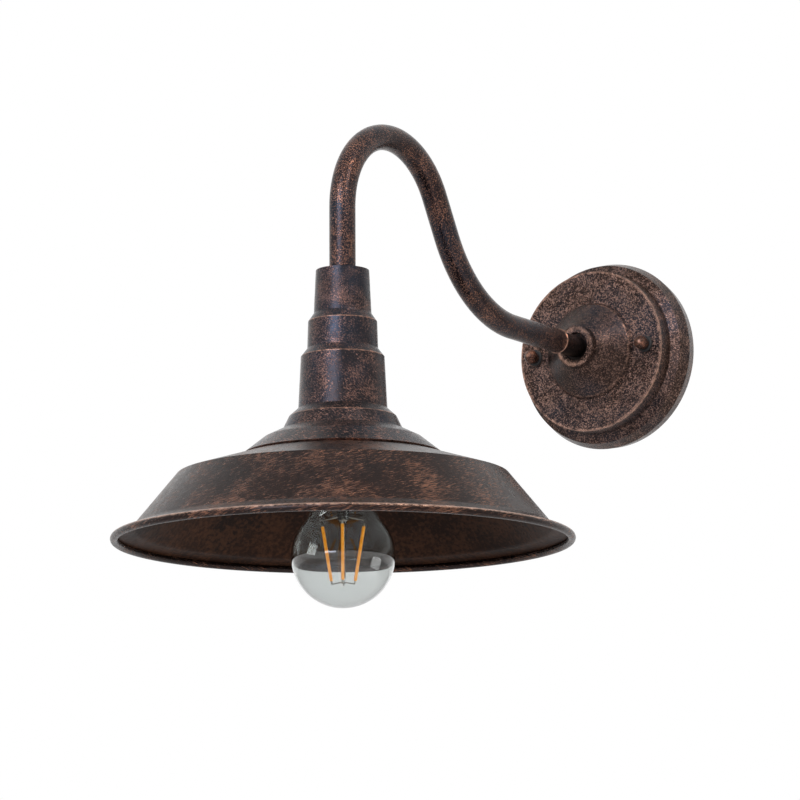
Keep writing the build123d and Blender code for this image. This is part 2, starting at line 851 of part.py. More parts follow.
def holder_terminal_screws():
    """Clamp screws of the two blocks, pressing on the wires."""
    inner = wire_radius + wire_gap / 2 + clamp_screw_gap
    outer = terminal_width / 2 + clamp_screw_stand
    screw = rod(terminal_screw_radius - thread_gap, inner, outer)
    screw -= block(terminal_screw_radius * 2, clamp_slot_width, outer - clamp_slot_depth, outer)
    screw = at_lamp * Pos(terminal_offset, 0, terminal_screw_height()) * from_wall * screw
    return [screw, mirrored(screw)]


# ---- bulb --------------------------------------------------------------------------------------

def glass_outline(inset):
    """Half outline of the bulb from the neck's top to the bottom of the ball."""
    turn = radians(ball_join_angle)
    radius = bulb_radius - inset
    neck = neck_radius - inset
    neck_top = cap_mouth + neck_height
    join = (radius * cos(turn), bulb_centre + radius * sin(turn))
    flare = (neck_flare_radius - inset, cap_mouth - neck_flare_drop)
    low_neck = (neck, cap_mouth + neck_widen_height)
    return [
        Line((neck, neck_top), low_neck),
        Spline(
            low_neck,
            flare,
            join,
            tangents=((0, -1), (sin(turn), -cos(turn))),
        ),
        ThreePointArc(
            join,
            (radius * cos(turn / 2 - pi / 4), bulb_centre + radius * sin(turn / 2 - pi / 4)),
            (0, bulb_centre - radius),
        ),
    ]


def bulb_glass():
    """Clear blown glass, open at the neck inside the cap."""
    outer = glass_outline(0)
    inner = glass_outline(bulb_wall)
    lip = Line(outer[0] @ 0, inner[0] @ 0)
    foot = Line(outer[2] @ 1, inner[2] @ 1)
    return at_lamp * turned(make_face(outer + [lip, foot] + inner))


def bulb_cap():
    """Rolled metal screw cap."""
    start = cap_mouth + cap_thread_start
    top = bulb_tip - tip_height - insulator_height
    points = [(cap_crest_radius, cap_mouth), (cap_crest_radius, cap_mouth + cap_skirt_height)]
    points += [(cap_root_radius, (cap_mouth + cap_skirt_height + start) / 2)]
    points += ridge_points(start, cap_crest_radius, cap_root_radius)
    points += [(cap_root_radius, top)]
    points.reverse()
    return at_lamp * turned(sheet_face(points, [cap_rounding] * (len(points) - 2), cap_wall))


def bulb_insulator():
    """Black glass insert that closes the cap round the tip."""
    low = bulb_tip - tip_height - insulator_height
    high = bulb_tip - tip_height
    outline = Polyline(
        (0, low),
        (cap_root_radius, low),
        (cap_root_radius, low + insulator_edge),
        (tip_radius + insulator_edge, high),
        (0, high),
        close=True,
    )
    return at_lamp * turned(make_face(outline))


def bulb_contact():
    """Tip contact."""
    low = bulb_tip - tip_height
    outline = FilletPolyline(
        (0, low), (tip_radius, low), (tip_radius, bulb_tip), (0, bulb_tip), radius=(0, tip_rounding)
    )
    return at_lamp * turned(make_face(outline + Line((0, bulb_tip), (0, low))))


def stem_top():
    """Height of the stem's flare, level with the neck's rim."""
    return cap_mouth + neck_height


def stem_foot():
    """Height where the stem's wide part ends."""
    return bulb_centre + filament_top + stem_foot_height


def bulb_stem():
    """Glass stem: flared foot in the neck, and a thin rod between the filaments."""
    flare = neck_radius - bulb_wall - wire_gap
    high = stem_top()
    low = stem_foot()
    rod_foot = bulb_centre + filament_foot
    outline = FilletPolyline(
        (0, high),
        (flare, high),
        (stem_radius + stem_flare, high - stem_flare_height),
        (stem_radius, low),
        (stem_rod_radius, low - stem_taper),
        (stem_rod_radius, rod_foot),
        (0, rod_foot),
        radius=(0, 3.0, 1.0, 1.0, 0.8),
    )
    return at_lamp * turned(make_face(outline + Line((0, rod_foot), (0, high))))


def filament_ends(index):
    """Top and foot of one filament, in the bulb's own frame."""
    turn = radians(filament_turn + index * 360 / filament_count)
    top = bulb_centre + filament_top
    foot = bulb_centre + filament_foot
    return (
        Vector(filament_top_radius * cos(turn), filament_top_radius * sin(turn), top),
        Vector(filament_foot_radius * cos(turn), filament_foot_radius * sin(turn), foot),
    )


def straight_round(radius, start, end):
    """Round bar between two points."""
    line = end - start
    return Plane(origin=start, z_dir=line) * rod(radius, 0, line.length)


def bulb_filaments():
    """Coated light-emitting strips, leaning in towards their feet."""
    solids = []
    for index in range(filament_count):
        top, foot = filament_ends(index)
        solids.append(at_lamp * straight_round(filament_radius, top, foot))
    return solids


def bulb_leads():
    """Support wires from the stem out to both ends of each filament."""
    solids = []
    for index in range(filament_count):
        top, foot = filament_ends(index)
        aside = Vector(top.X, top.Y, 0) / filament_top_radius
        root = Vector(0, 0, stem_foot() + lead_root_height) + aside * (stem_radius - lead_sink)
        upper = straight_round(lead_radius, root, top + Vector(0, 0, lead_lift))
        hub = Vector(0, 0, foot.Z + stem_rod_radius)
        outward = Vector(foot.X, foot.Y, 0) / filament_foot_radius
        lower_root = hub + outward * (stem_rod_radius - lead_sink)
        lower = straight_round(lead_radius, lower_root, foot + outward * lead_foot_reach)
        solids += [at_lamp * upper, at_lamp * lower]
    return solids


def bulb_driver():
    """Small round circuit board on the neck's rim, with its capacitor."""
    low = stem_top()
    face = low + driver_thickness
    board = rod(neck_radius, low, face)
    capacitor = Pos(capacitor_offset, 0, 0) * rod(capacitor_radius, face, face + capacitor_height)
    chip = Pos(-chip_offset, 0, 0) * block(chip_width, chip_length, face, face + chip_height)
    return at_lamp * (board + capacitor + chip)


# ---- all pieces --------------------------------------------------------------------------------

def write(name, shape):
    """One STEP file for a node: a solid, or a group of separate solids."""
    solids = shape if isinstance(shape, list) else [shape]
    solids = [solid for item in solids for solid in item.solids()]
    whole = solids[0] if len(solids) == 1 else Compound(children=solids)
    whole.label = name
    export_step(whole, "parts/" + name + ".step")


pieces = {
    "crossbar": crossbar(),
    "crossbar_studs": crossbar_studs(),
    "stud_nuts": stud_nuts(),
    "earth_screw": earth_screw(),
    "earth_lug": earth_lug(),
    "earth_wire": earth_wire(),
    "terminal_block": terminal_block(),
    "terminal_block_inserts": terminal_block_inserts(),
    "terminal_block_screws": terminal_block_screws(),
    "wall_canopy": wall_canopy(),
    "canopy_washer": canopy_washer(),
    "canopy_locknut": canopy_locknut(),
    "canopy_nipple": canopy_nipple(),
    "nut_washer_right": nut_washer(),
    "nut_washer_left": mirrored(nut_washer()),
    "ball_nut_right": ball_nut(),
    "ball_nut_left": mirrored(ball_nut()),
    "arm_coupler": arm_coupler(),
    "gooseneck_arm": gooseneck_arm(),
    "arm_end_bush": arm_end_bush(),
    "lamp_nipple": lamp_nipple(),
    "cup_washer": cup_washer(),
    "cup_locknut": cup_locknut(),
    "stepped_cup": stepped_cup(),
    "shade": shade(),
    "shade_ring": shade_ring(),
    "holder_locknut": holder_locknut(),
    "lampholder_cap": lampholder_cap(),
    "lampholder_body": lampholder_body(),
    "contact_base": contact_base(),
    "centre_contact": centre_contact(),
    "screw_shell": screw_shell(),
    "holder_terminals": holder_terminals(),
    "holder_terminal_screws": holder_terminal_screws(),
    "live_wire": wire(1),
    "neutral_wire": wire(-1),
    "bulb_glass": bulb_glass(),
    "bulb_cap": bulb_cap(),
    "bulb_insulator": bulb_insulator(),
    "bulb_contact": bulb_contact(),
    "bulb_stem": bulb_stem(),
    "bulb_filaments": bulb_filaments(),
    "bulb_leads": bulb_leads(),
    "bulb_driver": bulb_driver(),
}

os.makedirs("parts", exist_ok=True)
for name, shape in pieces.items():
    write(name, shape)
    print(name)
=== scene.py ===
"""Looks of the gooseneck wall light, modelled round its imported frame."""
import logging
import math
from dataclasses import dataclass, field
from enum import Enum
from typing import Callable, Optional, Sequence

import bmesh
import bpy
from mathutils import Matrix, Vector


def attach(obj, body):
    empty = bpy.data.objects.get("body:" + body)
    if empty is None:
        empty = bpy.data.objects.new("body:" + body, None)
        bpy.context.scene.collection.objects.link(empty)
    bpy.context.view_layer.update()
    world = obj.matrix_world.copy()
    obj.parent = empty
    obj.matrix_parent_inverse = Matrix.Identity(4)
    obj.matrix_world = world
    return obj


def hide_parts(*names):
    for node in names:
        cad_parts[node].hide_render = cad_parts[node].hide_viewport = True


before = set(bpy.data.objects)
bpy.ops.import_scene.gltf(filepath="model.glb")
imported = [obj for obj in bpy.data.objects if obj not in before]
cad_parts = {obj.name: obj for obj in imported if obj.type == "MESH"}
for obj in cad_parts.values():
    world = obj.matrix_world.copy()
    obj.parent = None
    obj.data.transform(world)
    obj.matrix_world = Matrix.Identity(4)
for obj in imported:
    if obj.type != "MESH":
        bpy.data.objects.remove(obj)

log = logging.getLogger("wall_light")

MM = 0.001                      # every size below is in millimetres
SAME = 0.002 * MM               # two vertices this close in height or radius are level
Material = bpy.types.Material
Node = bpy.types.Node
Piece = bpy.types.Object
Socket = bpy.types.NodeSocket
Tree = bpy.types.NodeTree


class Body(Enum):
    """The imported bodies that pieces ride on."""

    FIXTURE = "fixture"
    BULB = "bulb"
    WASHER_RIGHT = "washer_right"
    WASHER_LEFT = "washer_left"
    NUT_RIGHT = "nut_right"
    NUT_LEFT = "nut_left"


class Pattern(Enum):
    """How the copper was put on over the dark coat."""

    SPONGED = "sponged"         # dabbed with a sponge: round flecks
    BRUSHED = "brushed"         # dragged with a dry brush: strokes round the lamp


# ---- node helpers ---------------------------------------------------------------------

def linear(code: str) -> tuple[float, float, float, float]:
    """Turn an sRGB hex colour into linear light.

    Args:
        code: the colour as "#rrggbb".

    Returns:
        Linear red, green, blue and an alpha of 1.
    """
    parts = [int(code[i:i + 2], 16) / 255 for i in (1, 3, 5)]
    red, green, blue = (p / 12.92 if p <= 0.04045 else ((p + 0.055) / 1.055) ** 2.4 for p in parts)
    return red, green, blue, 1.0


def feed(tree: Tree, node: Node, inputs: dict) -> None:
    """Set or link a node's inputs.

    Args:
        tree: the node tree.
        node: the node.
        inputs: by socket name or number, a value, an output, or a node whose first output feeds it.
    """
    for name, value in inputs.items():
        if isinstance(value, Node):
            value = value.outputs[0]
        if isinstance(value, Socket):
            tree.links.new(value, node.inputs[name])
        else:
            node.inputs[name].default_value = value


def add(tree: Tree, kind: str, settings: Optional[dict] = None, inputs: Optional[dict] = None) -> Node:
    """Add one shader node with its settings and links.

    Args:
        tree: the material's node tree.
        kind: the node's type, without its ShaderNode prefix.
        settings: the node's own properties by name.
        inputs: what feeds its sockets.

    Returns:
        The new node.
    """
    node = tree.nodes.new("ShaderNode" + kind)
    for name, value in (settings or {}).items():
        setattr(node, name, value)
    feed(tree, node, inputs or {})
    return node


def looked_at(tree: Tree, unseen: float, seen: float) -> Node:
    """Give a strength that depends on whether the eye, a mirror or glass looks at it.

    Args:
        tree: the node tree of the background.
        unseen: the strength as it lights matt surfaces.
        seen: the strength as it shows.

    Returns:
        The node that gives the strength.
    """
    path = add(tree, "LightPath")
    direct = add(tree, "Math", {"operation": "MAXIMUM"}, {
        0: path.outputs["Is Camera Ray"], 1: path.outputs["Is Transmission Ray"],
    })
    shown = add(tree, "Math", {"operation": "MAXIMUM"}, {0: direct, 1: path.outputs["Is Glossy Ray"]})
    return add(tree, "MapRange", None, {"Value": shown, "To Min": unseen, "To Max": seen})


# ---- finishes -------------------------------------------------------------------------

@dataclass(frozen=True)
class Finish:
    """A finish, made as one procedural material."""

    name: str

    def surface(self, tree: Tree, place: Socket) -> dict:
        """Add the finish's own nodes.

        Args:
            tree: the node tree.
            place: the object coordinates.

        Returns:
            The shader's inputs by name.
        """
        raise NotImplementedError

    def build(self) -> Material:
        """Make the material.

        Returns:
            The material.
        """
        material = bpy.data.materials.new(self.name)
        material.use_nodes = True
        tree = material.node_tree
        place = add(tree, "TexCoord").outputs["Object"]
        feed(tree, tree.nodes["Principled BSDF"], self.surface(tree, place))
        return material


@dataclass(frozen=True)
class AntiqueBronze(Finish):
    """Antique rust bronze: a near-black brown coat with copper dabbed or dragged over it.

    The eye sees a dark brown coat with a cool sheen, broken up by small copper flecks that
    gather in patches, and bare copper lines where a hand rubs the edges. These lines are also
    lightened and made glossier as a painted highlight.
    """

    pattern: Pattern = Pattern.SPONGED
    coat: str = "#2c201c"
    coat_cool: str = "#20222a"
    copper: str = "#a5613f"
    rubbed: str = "#b98c76"     # bare edges rubbed by handling, lightened further as a painted highlight
    fleck: float = 1.3          # across one fleck
    stroke: float = 11.0        # length of one brush stroke
    stroke_width: float = 1.1
    stroke_slope: float = 17.0  # degrees up from level
    patch: float = 17.0         # across one patch of denser copper
    clumping: float = 0.55      # how far the flecks keep to the patches
    cover: float = 0.5          # share of the coat that the copper reaches
    strength: float = 0.75
    softness: float = 0.08      # how slowly a mark fades out
    metallic: float = 0.75
    roughness: float = 0.33
    gloss: float = 0.25
    centre: tuple[float, float] = (0.0, -313.0)
    wrap_radius: float = 115.0

    def flecks(self, tree: Tree, place: Socket) -> Node:
        """Round flecks from a sponge.

        Args:
            tree: the node tree.
            place: the object coordinates.

        Returns:
            The node that gives the flecks' height, 0 to 1.
        """
        return add(tree, "TexNoise", {"noise_dimensions": "3D"}, {
            "Vector": place, "Scale": 1 / (self.fleck * MM), "Detail": 3.0, "Roughness": 0.62,
        })

    def strokes(self, tree: Tree, place: Socket) -> Node:
        """Strokes dragged round the lamp, with the join of each half hidden by the other.

        Args:
            tree: the node tree.
            place: the object coordinates.

        Returns:
            The node that gives the strokes' height, 0 to 1.
        """
        shift = add(tree, "VectorMath", {"operation": "SUBTRACT"}, {
            0: place, 1: (self.centre[0] * MM, self.centre[1] * MM, 0.0),
        })
        part = add(tree, "SeparateXYZ", None, {0: shift})
        halves = []
        for side in (-1.0, 1.0):
            along_y = add(tree, "Math", {"operation": "MULTIPLY"}, {0: part.outputs[1], 1: side})
            along_x = add(tree, "Math", {"operation": "MULTIPLY"}, {0: part, 1: -side})
            turn = add(tree, "Math", {"operation": "ARCTAN2"}, {0: along_x, 1: along_y})
            arc = add(tree, "Math", {"operation": "MULTIPLY"}, {0: turn, 1: self.wrap_radius * MM})
            flat = add(tree, "CombineXYZ", None, {0: arc, 1: part.outputs[2], 2: side})
            laid = add(tree, "Mapping", {"vector_type": "TEXTURE"}, {
                "Vector": flat,
                "Rotation": (0.0, 0.0, math.radians(self.stroke_slope)),
                "Scale": (self.stroke * MM, self.stroke_width * MM, 1.0),
            })
            noise = add(tree, "TexNoise", {"noise_dimensions": "3D"}, {
                "Vector": laid, "Scale": 1.0, "Detail": 4.0, "Roughness": 0.66, "Distortion": 0.35,
            })
            halves.append(noise)
        front = add(tree, "MapRange", {"interpolation_type": "SMOOTHSTEP"}, {
            "Value": part.outputs[1], "From Min": -30 * MM, "From Max": 30 * MM,
        })
        return add(tree, "Mix", {"data_type": "FLOAT"}, {0: front, 2: halves[0], 3: halves[1]})

    def surface(self, tree: Tree, place: Socket) -> dict:
        """Add the finish's own nodes.

        Args:
            tree: the node tree.
            place: the object coordinates.

        Returns:
            The shader's inputs by name.
        """
        patches = add(tree, "TexNoise", None, {
            "Vector": place, "Scale": 1 / (self.patch * MM), "Detail": 3.0, "Roughness": 0.55,
        })
        mark = self.flecks(tree, place) if self.pattern is Pattern.SPONGED else self.strokes(tree, place)
        lifted = add(tree, "Math", {"operation": "MULTIPLY_ADD"}, {
            0: patches, 1: self.clumping, 2: mark,
        })
        threshold = 0.675 + 0.5 * self.clumping - 0.25 * self.cover
        copper = add(tree, "MapRange", {"interpolation_type": "SMOOTHSTEP"}, {
            "Value": lifted, "From Min": threshold - self.softness, "From Max": threshold + self.softness,
            "To Max": self.strength,
        })
        plain = add(tree, "Attribute", {"attribute_name": "plain"})
        left = add(tree, "Math", {"operation": "SUBTRACT"}, {0: 1.0, 1: plain.outputs["Fac"]})
        dabbed = add(tree, "Math", {"operation": "MULTIPLY"}, {0: copper, 1: left})
        # worn rings: rubbed copper on edges and crests, also lightened and made glossier as a painted
        # highlight
        wear_and_highlight = add(tree, "Attribute", {"attribute_name": "wear_and_highlight"})
        scuff = add(tree, "TexNoise", None, {"Vector": place, "Scale": 1 / (3.2 * MM), "Detail": 4.0})
        worn = add(tree, "Math", {"operation": "MULTIPLY_ADD"}, {
            0: wear_and_highlight.outputs["Fac"], 1: 1.5, 2: scuff,
        })
        edges = add(tree, "MapRange", {"interpolation_type": "SMOOTHSTEP"}, {
            "Value": worn, "From Min": 0.9, "From Max": 1.7, "To Max": 0.9,
        })
        bare = add(tree, "Math", {"operation": "MAXIMUM"}, {0: dabbed, 1: edges})
        drift = add(tree, "TexNoise", None, {"Vector": place, "Scale": 1 / (31 * MM), "Detail": 2.0})
        cool = add(tree, "MapRange", None, {"Value": drift, "From Min": 0.42, "From Max": 0.7})
        coat = add(tree, "Mix", {"data_type": "RGBA"}, {
            0: cool, 6: linear(self.coat), 7: linear(self.coat_cool),
        })
        flecked = add(tree, "Mix", {"data_type": "RGBA"}, {
            0: dabbed, 6: coat.outputs[2], 7: linear(self.copper),
        })
        # the rubbed edges take a pale copper: partly real wear, partly painted highlight
        colour = add(tree, "Mix", {"data_type": "RGBA"}, {
            0: edges, 6: flecked.outputs[2], 7: linear(self.rubbed),
        })
        metal = add(tree, "MapRange", None, {"Value": edges, "To Min": self.metallic, "To Max": 0.95})
        polish = add(tree, "MapRange", None, {
            "Value": scuff, "From Min": 0.3, "From Max": 0.7,
            "To Min": self.roughness - 0.06, "To Max": self.roughness + 0.06,
        })
        shine = add(tree, "Math", {"operation": "MULTIPLY_ADD"}, {0: edges, 1: -0.1, 2: polish})
        grain = add(tree, "TexNoise", None, {"Vector": place, "Scale": 1 / (0.8 * MM), "Detail": 3.0})
        relief = add(tree, "Math", {"operation": "ADD"}, {0: grain, 1: bare})
        bump = add(tree, "Bump", None, {"Strength": 0.8, "Distance": 0.14 * MM, "Height": relief})
        return {
            "Base Color": colour.outputs[2], "Metallic": metal, "Roughness": shine, "Normal": bump,
            "Specular IOR Level": self.gloss,
        }


@dataclass(frozen=True)
class PlatedMetal(Finish):
    """Stamped or turned metal with a thin plating: a soft shine with faint drawing lines."""

    colour: str
    dull: str                   # where the plating has clouded
    roughness: float = 0.32
    line: float = 0.35          # spacing of the drawing lines, coarse enough to show

    def surface(self, tree: Tree, place: Socket) -> dict:
        """Add the finish's own nodes.

        Args:
            tree: the node tree.
            place: the object coordinates.

        Returns:
            The shader's inputs by name.
        """
        cloud = add(tree, "TexNoise", None, {"Vector": place, "Scale": 1 / (6 * MM), "Detail": 4.0})
        share = add(tree, "MapRange", None, {"Value": cloud, "From Min": 0.35, "From Max": 0.7})
        colour = add(tree, "Mix", {"data_type": "RGBA"}, {
            0: share, 6: linear(self.colour), 7: linear(self.dull),
        })
        lined = add(tree, "Mapping", None, {"Vector": place, "Scale": (1.0, 1.0, 8.0)})
        lines = add(tree, "TexNoise", None, {
            "Vector": lined, "Scale": 1 / (self.line * 8 * MM), "Detail": 2.0,
        })
        polish = add(tree, "MapRange", None, {
            "Value": lines, "From Min": 0.3, "From Max": 0.7,
            "To Min": self.roughness - 0.08, "To Max": self.roughness + 0.12,
        })
        bump = add(tree, "Bump", None, {"Strength": 0.15, "Distance": 0.04 * MM, "Height": lines})
        return {"Base Color": colour.outputs[2], "Roughness": polish, "Normal": bump, "Metallic": 1.0}


@dataclass(frozen=True)
class Moulded(Finish):
    """Pressed or moulded plastic, rubber or ceramic: an even colour with a fine skin."""

    colour: str
    shade: str                  # darker drift of the same colour
    roughness: float = 0.4
    grain: float = 0.6          # across one bump of the moulding skin
    relief: float = 0.03
    coat: float = 0.0
    ior: float = 1.5

    def surface(self, tree: Tree, place: Socket) -> dict:
        """Add the finish's own nodes.

        Args:
            tree: the node tree.
            place: the object coordinates.

        Returns:
            The shader's inputs by name.
        """
        drift = add(tree, "TexNoise", None, {"Vector": place, "Scale": 1 / (9 * MM), "Detail": 4.0})
        share = add(tree, "MapRange", None, {"Value": drift, "From Min": 0.3, "From Max": 0.7})
        colour = add(tree, "Mix", {"data_type": "RGBA"}, {
            0: share, 6: linear(self.colour), 7: linear(self.shade),
        })
        skin = add(tree, "TexNoise", None, {"Vector": place, "Scale": 1 / (self.grain * MM), "Detail": 2.0})
        polish = add(tree, "MapRange", None, {
            "Value": skin, "From Min": 0.3, "From Max": 0.7,
            "To Min": max(self.roughness - 0.06, 0.02), "To Max": self.roughness + 0.08,
        })
        bump = add(tree, "Bump", None, {
            "Strength": 0.25, "Distance": self.relief * MM, "Height": skin,
        })
        return {
            "Base Color": colour.outputs[2], "Roughness": polish, "Normal": bump, "Coat Weight": self.coat,
            "IOR": self.ior,
        }


@dataclass(frozen=True)
class BlownGlass(Finish):
    """Clear soda glass: it bends what is behind it and hardly colours it."""

    colour: str = "#dfe2e1"
    ripple: float = 22.0        # across one wave left by blowing
    ior: float = 1.47

    def surface(self, tree: Tree, place: Socket) -> dict:
        """Add the finish's own nodes.

        Args:
            tree: the node tree.
            place: the object coordinates.

        Returns:
            The shader's inputs by name.
        """
        wave = add(tree, "TexNoise", None, {"Vector": place, "Scale": 1 / (self.ripple * MM), "Detail": 1.0})
        smear = add(tree, "MapRange", None, {
            "Value": wave, "From Min": 0.4, "From Max": 0.8, "To Min": 0.0, "To Max": 0.03,
        })
        bump = add(tree, "Bump", None, {"Strength": 0.12, "Distance": 0.15 * MM, "Height": wave})
        return {
            "Base Color": linear(self.colour), "Roughness": smear, "Normal": bump, "Transmission Weight": 1.0,
            "IOR": self.ior,
        }


@dataclass(frozen=True)
class FilamentCoat(Finish):
    """Amber silicone over a row of light chips: soft orange with a faint beading, and a painted glow that
    brightens it.
    """

    colour: str = "#f39a2c"
    bead: str = "#ffb54e"
    chip: float = 1.4           # spacing of the chips
    glow: float = 0.55          # share of its colour given off as a painted glow

    def surface(self, tree: Tree, place: Socket) -> dict:
        """Add the finish's own nodes.

        Args:
            tree: the node tree.
            place: the object coordinates.

        Returns:
            The shader's inputs by name.
        """
        cells = add(tree, "TexVoronoi", None, {"Vector": place, "Scale": 1 / (self.chip * MM)})
        depth = cells.outputs["Distance"]
        share = add(tree, "MapRange", None, {"Value": depth, "From Min": 0.1, "From Max": 0.6})
        colour = add(tree, "Mix", {"data_type": "RGBA"}, {
            0: share, 6: linear(self.bead), 7: linear(self.colour),
        })
        bump = add(tree, "Bump", None, {"Strength": 0.2, "Distance": 0.05 * MM, "Height": depth})
        # painted glow: the strips give off part of their own colour
        return {
            "Base Color": colour.outputs[2], "Emission Color": colour.outputs[2], "Normal": bump,
            "Emission Strength": self.glow, "Roughness": 0.45,
        }


@dataclass(frozen=True)
class StudioPaper(Finish):
    """Matt white background paper: it keeps a soft shadow, and looks pale from every side."""

    colour: str = "#f2f2f1"
    fibre: float = 3.0          # across one cloud of the paper's fibres
    glow: float = 0.5           # added where the eye, or a mirror or glass, looks at it

    def surface(self, tree: Tree, place: Socket) -> dict:
        """Add the finish's own nodes.

        Args:
            tree: the node tree.
            place: the object coordinates.

        Returns:
            The shader's inputs by name.
        """
        fibres = add(tree, "TexNoise", None, {"Vector": place, "Scale": 1 / (self.fibre * MM), "Detail": 2.0})
        bump = add(tree, "Bump", None, {"Strength": 0.1, "Distance": 0.02 * MM, "Height": fibres})
        return {
            "Base Color": linear(self.colour), "Roughness": 0.8, "Specular IOR Level": 0.0, "Normal": bump,
            "Emission Color": (1.0, 1.0, 1.0, 1.0), "Emission Strength": looked_at(tree, 0.0, self.glow),
        }


FINISHES: dict[str, Finish] = {finish.name: finish for finish in (
    # coat sponged with copper, flat on the canopy's front
    AntiqueBronze(
        "rust_bronze_canopy", coat="#261b17", coat_cool="#22242b", copper="#a98474", rubbed="#c09783",
        cover=0.47, fleck=0.75, strength=0.72, patch=7.0, clumping=0.22, softness=0.055, roughness=0.27,
    ),
    AntiqueBronze(
        "rust_bronze_arm", coat="#292122", coat_cool="#262930", copper="#9c6e58", cover=0.4, fleck=0.75,
        strength=0.66, patch=12.0, clumping=0.3, softness=0.06, roughness=0.24,
    ),
    AntiqueBronze(
        "rust_bronze_cup", pattern=Pattern.BRUSHED, coat="#262224", coat_cool="#252a33", copper="#a17767",
        cover=0.42, stroke=1.4, stroke_width=0.5, stroke_slope=-38.0, wrap_radius=24.0, patch=10.0,
        strength=0.6, clumping=0.28, softness=0.045, roughness=0.25,
    ),
    # coat dragged with a nearly dry brush, round the shade
    AntiqueBronze(
        "rust_bronze_shade", pattern=Pattern.BRUSHED, coat="#281d1a", coat_cool="#26201f", copper="#94664f",
        rubbed="#cfa995", cover=0.32, stroke=5.2, stroke_width=0.42, stroke_slope=15.0, patch=24.0,
        strength=0.72, clumping=0.4, softness=0.06, roughness=0.3,
    ),
    AntiqueBronze(
        "rust_bronze_inside", coat="#2e1f18", coat_cool="#211916", copper="#60402d", cover=0.6, fleck=2.4,
        strength=0.35, patch=20.0, softness=0.15, metallic=0.0, gloss=0.03,
    ),
    AntiqueBronze(
        "bronze_nut", coat="#33231d", coat_cool="#2a211e", copper="#9b6a55", cover=0.5, fleck=0.8, patch=5.0,
    ),
    AntiqueBronze(
        "dark_coupler", coat="#1a1412", coat_cool="#151315", copper="#4a2e22", cover=0.2, strength=0.5,
    ),
    # zinc plate on mild steel: pale grey, slightly clouded
    PlatedMetal("zinc_steel", "#c3c5c4", "#9b9ea0"),
    PlatedMetal("brass", "#c9a257", "#94713a", 0.28),
    PlatedMetal("nickel_cap", "#cfccc4", "#a8a59d", 0.22),
    PlatedMetal("nickel_wire", "#c8c4ba", "#8f8a82", 0.3, 0.2),
    PlatedMetal("solder_tip", "#a9abab", "#7b7d7e", 0.42, 0.5),
    # flexible PVC, extruded: even colour and a dull skin
    Moulded("earth_insulation", "#a9b52c", "#5f8b33", 0.5, 0.8),
    Moulded("live_insulation", "#5b3420", "#482818", 0.5, 0.8),
    Moulded("neutral_insulation", "#2b5fa8", "#224d8c", 0.5, 0.8),
    Moulded("white_nylon", "#e6e4da", "#d5d2c4", 0.42),
    Moulded("black_rubber", "#171616", "#0f0e0e", 0.62, 0.5, 0.05),
    # phenolic pressed in a polished mould: deep black with a gloss
    Moulded("black_phenolic", "#1e1b19", "#141110", 0.22, 1.2, 0.02, 0.3, 1.6),
    Moulded("white_ceramic", "#eceae2", "#dedace", 0.16, 1.6, 0.02, 0.5),
    Moulded("black_glass", "#101012", "#0a0a0b", 0.08, 2.0, 0.02, 0.6),
    Moulded("circuit_board", "#2c6b3a", "#1f5430", 0.35, 0.7),
    BlownGlass("clear_glass"),
    FilamentCoat("amber_filament"),
    StudioPaper("studio_paper"),
)}


class Palette:
    """Makes each finish once, when a piece first asks for it."""

    def __init__(self) -> None:
        """Start with no material made."""
        self.made: dict[str, Material] = {}

    def __getitem__(self, name: str) -> Material:
        """Give a finish's material.

        Args:
            name: the finish's name.

        Returns:
            Its material.
        """
        if name not in self.made:
            self.made[name] = FINISHES[name].build()
        return self.made[name]


# ---- modelling helpers ----------------------------------------------------------------

@dataclass(frozen=True)
class Ring:
    """One corner of a turned outline."""

    radius: float
    height: float


@dataclass(frozen=True)
class WearAndHighlight:
    """A ring on a turned piece where the coat is rubbed through to the copper, lightened as a painted
    highlight.
    """

    radius: float
    height: float
    width: float
    amount: float

    def at(self, place: Vector) -> float:
        """Work out how rubbed a place is by this ring.

        Args:
            place: the place, in millimetres.

        Returns:
            The amount, 0 to 1.
        """
        away = math.hypot(place.xy.length - self.radius, place.z - self.height)
        return self.amount * math.exp(-(away / self.width) ** 2)


def deselect() -> None:
    """Leave edit mode, and deselect everything."""
    if bpy.context.object is not None and bpy.context.object.mode != "OBJECT":
        bpy.ops.object.mode_set(mode="OBJECT")
    bpy.ops.object.select_all(action="DESELECT")


def pick(piece: Piece) -> None:
    """Select one piece alone and make it active.

    Args:
        piece: the piece.
    """
    deselect()
    piece.select_set(True)
    bpy.context.view_layer.objects.active = piece


def place_mesh(piece: Piece, at: Sequence[float], turn: Sequence[float] = (0.0, 0.0, 0.0)) -> Piece:
    """Turn and move a piece, and put its place in its mesh.

    Args:
        piece: the piece, built about the origin.
        at: where it goes, in millimetres.
        turn: its rotation in degrees about X, Y and Z.

    Returns:
        The same piece.
    """
    pick(piece)
    piece.rotation_euler = [math.radians(angle) for angle in turn]
    piece.location = [value * MM for value in at]
    bpy.ops.object.transform_apply(location=True, rotation=True, scale=True)
    return piece


def edit(piece: Piece) -> None:
    """Open a piece in edit mode, with all of it selected.

    Args:
        piece: the piece.
    """
    pick(piece)
    bpy.ops.object.mode_set(mode="EDIT")
    bpy.ops.mesh.select_all(action="SELECT")


def close_up() -> None:
    """Face a closed mesh outwards, and leave edit mode."""
    bpy.ops.mesh.select_all(action="SELECT")
    bpy.ops.mesh.normals_make_consistent(inside=False)
    bpy.ops.object.mode_set(mode="OBJECT")


def select_edges(piece: Piece, wanted: Callable[[bmesh.types.BMEdge], bool]) -> None:
    """Select the edges that pass a test, and no others.

    Args:
        piece: the piece, in edit mode.
        wanted: the test.
    """
    bpy.ops.mesh.select_all(action="DESELECT")
    for edge in bmesh.from_edit_mesh(piece.data).edges:
        if wanted(edge):
            edge.select = True
    bmesh.update_edit_mesh(piece.data)


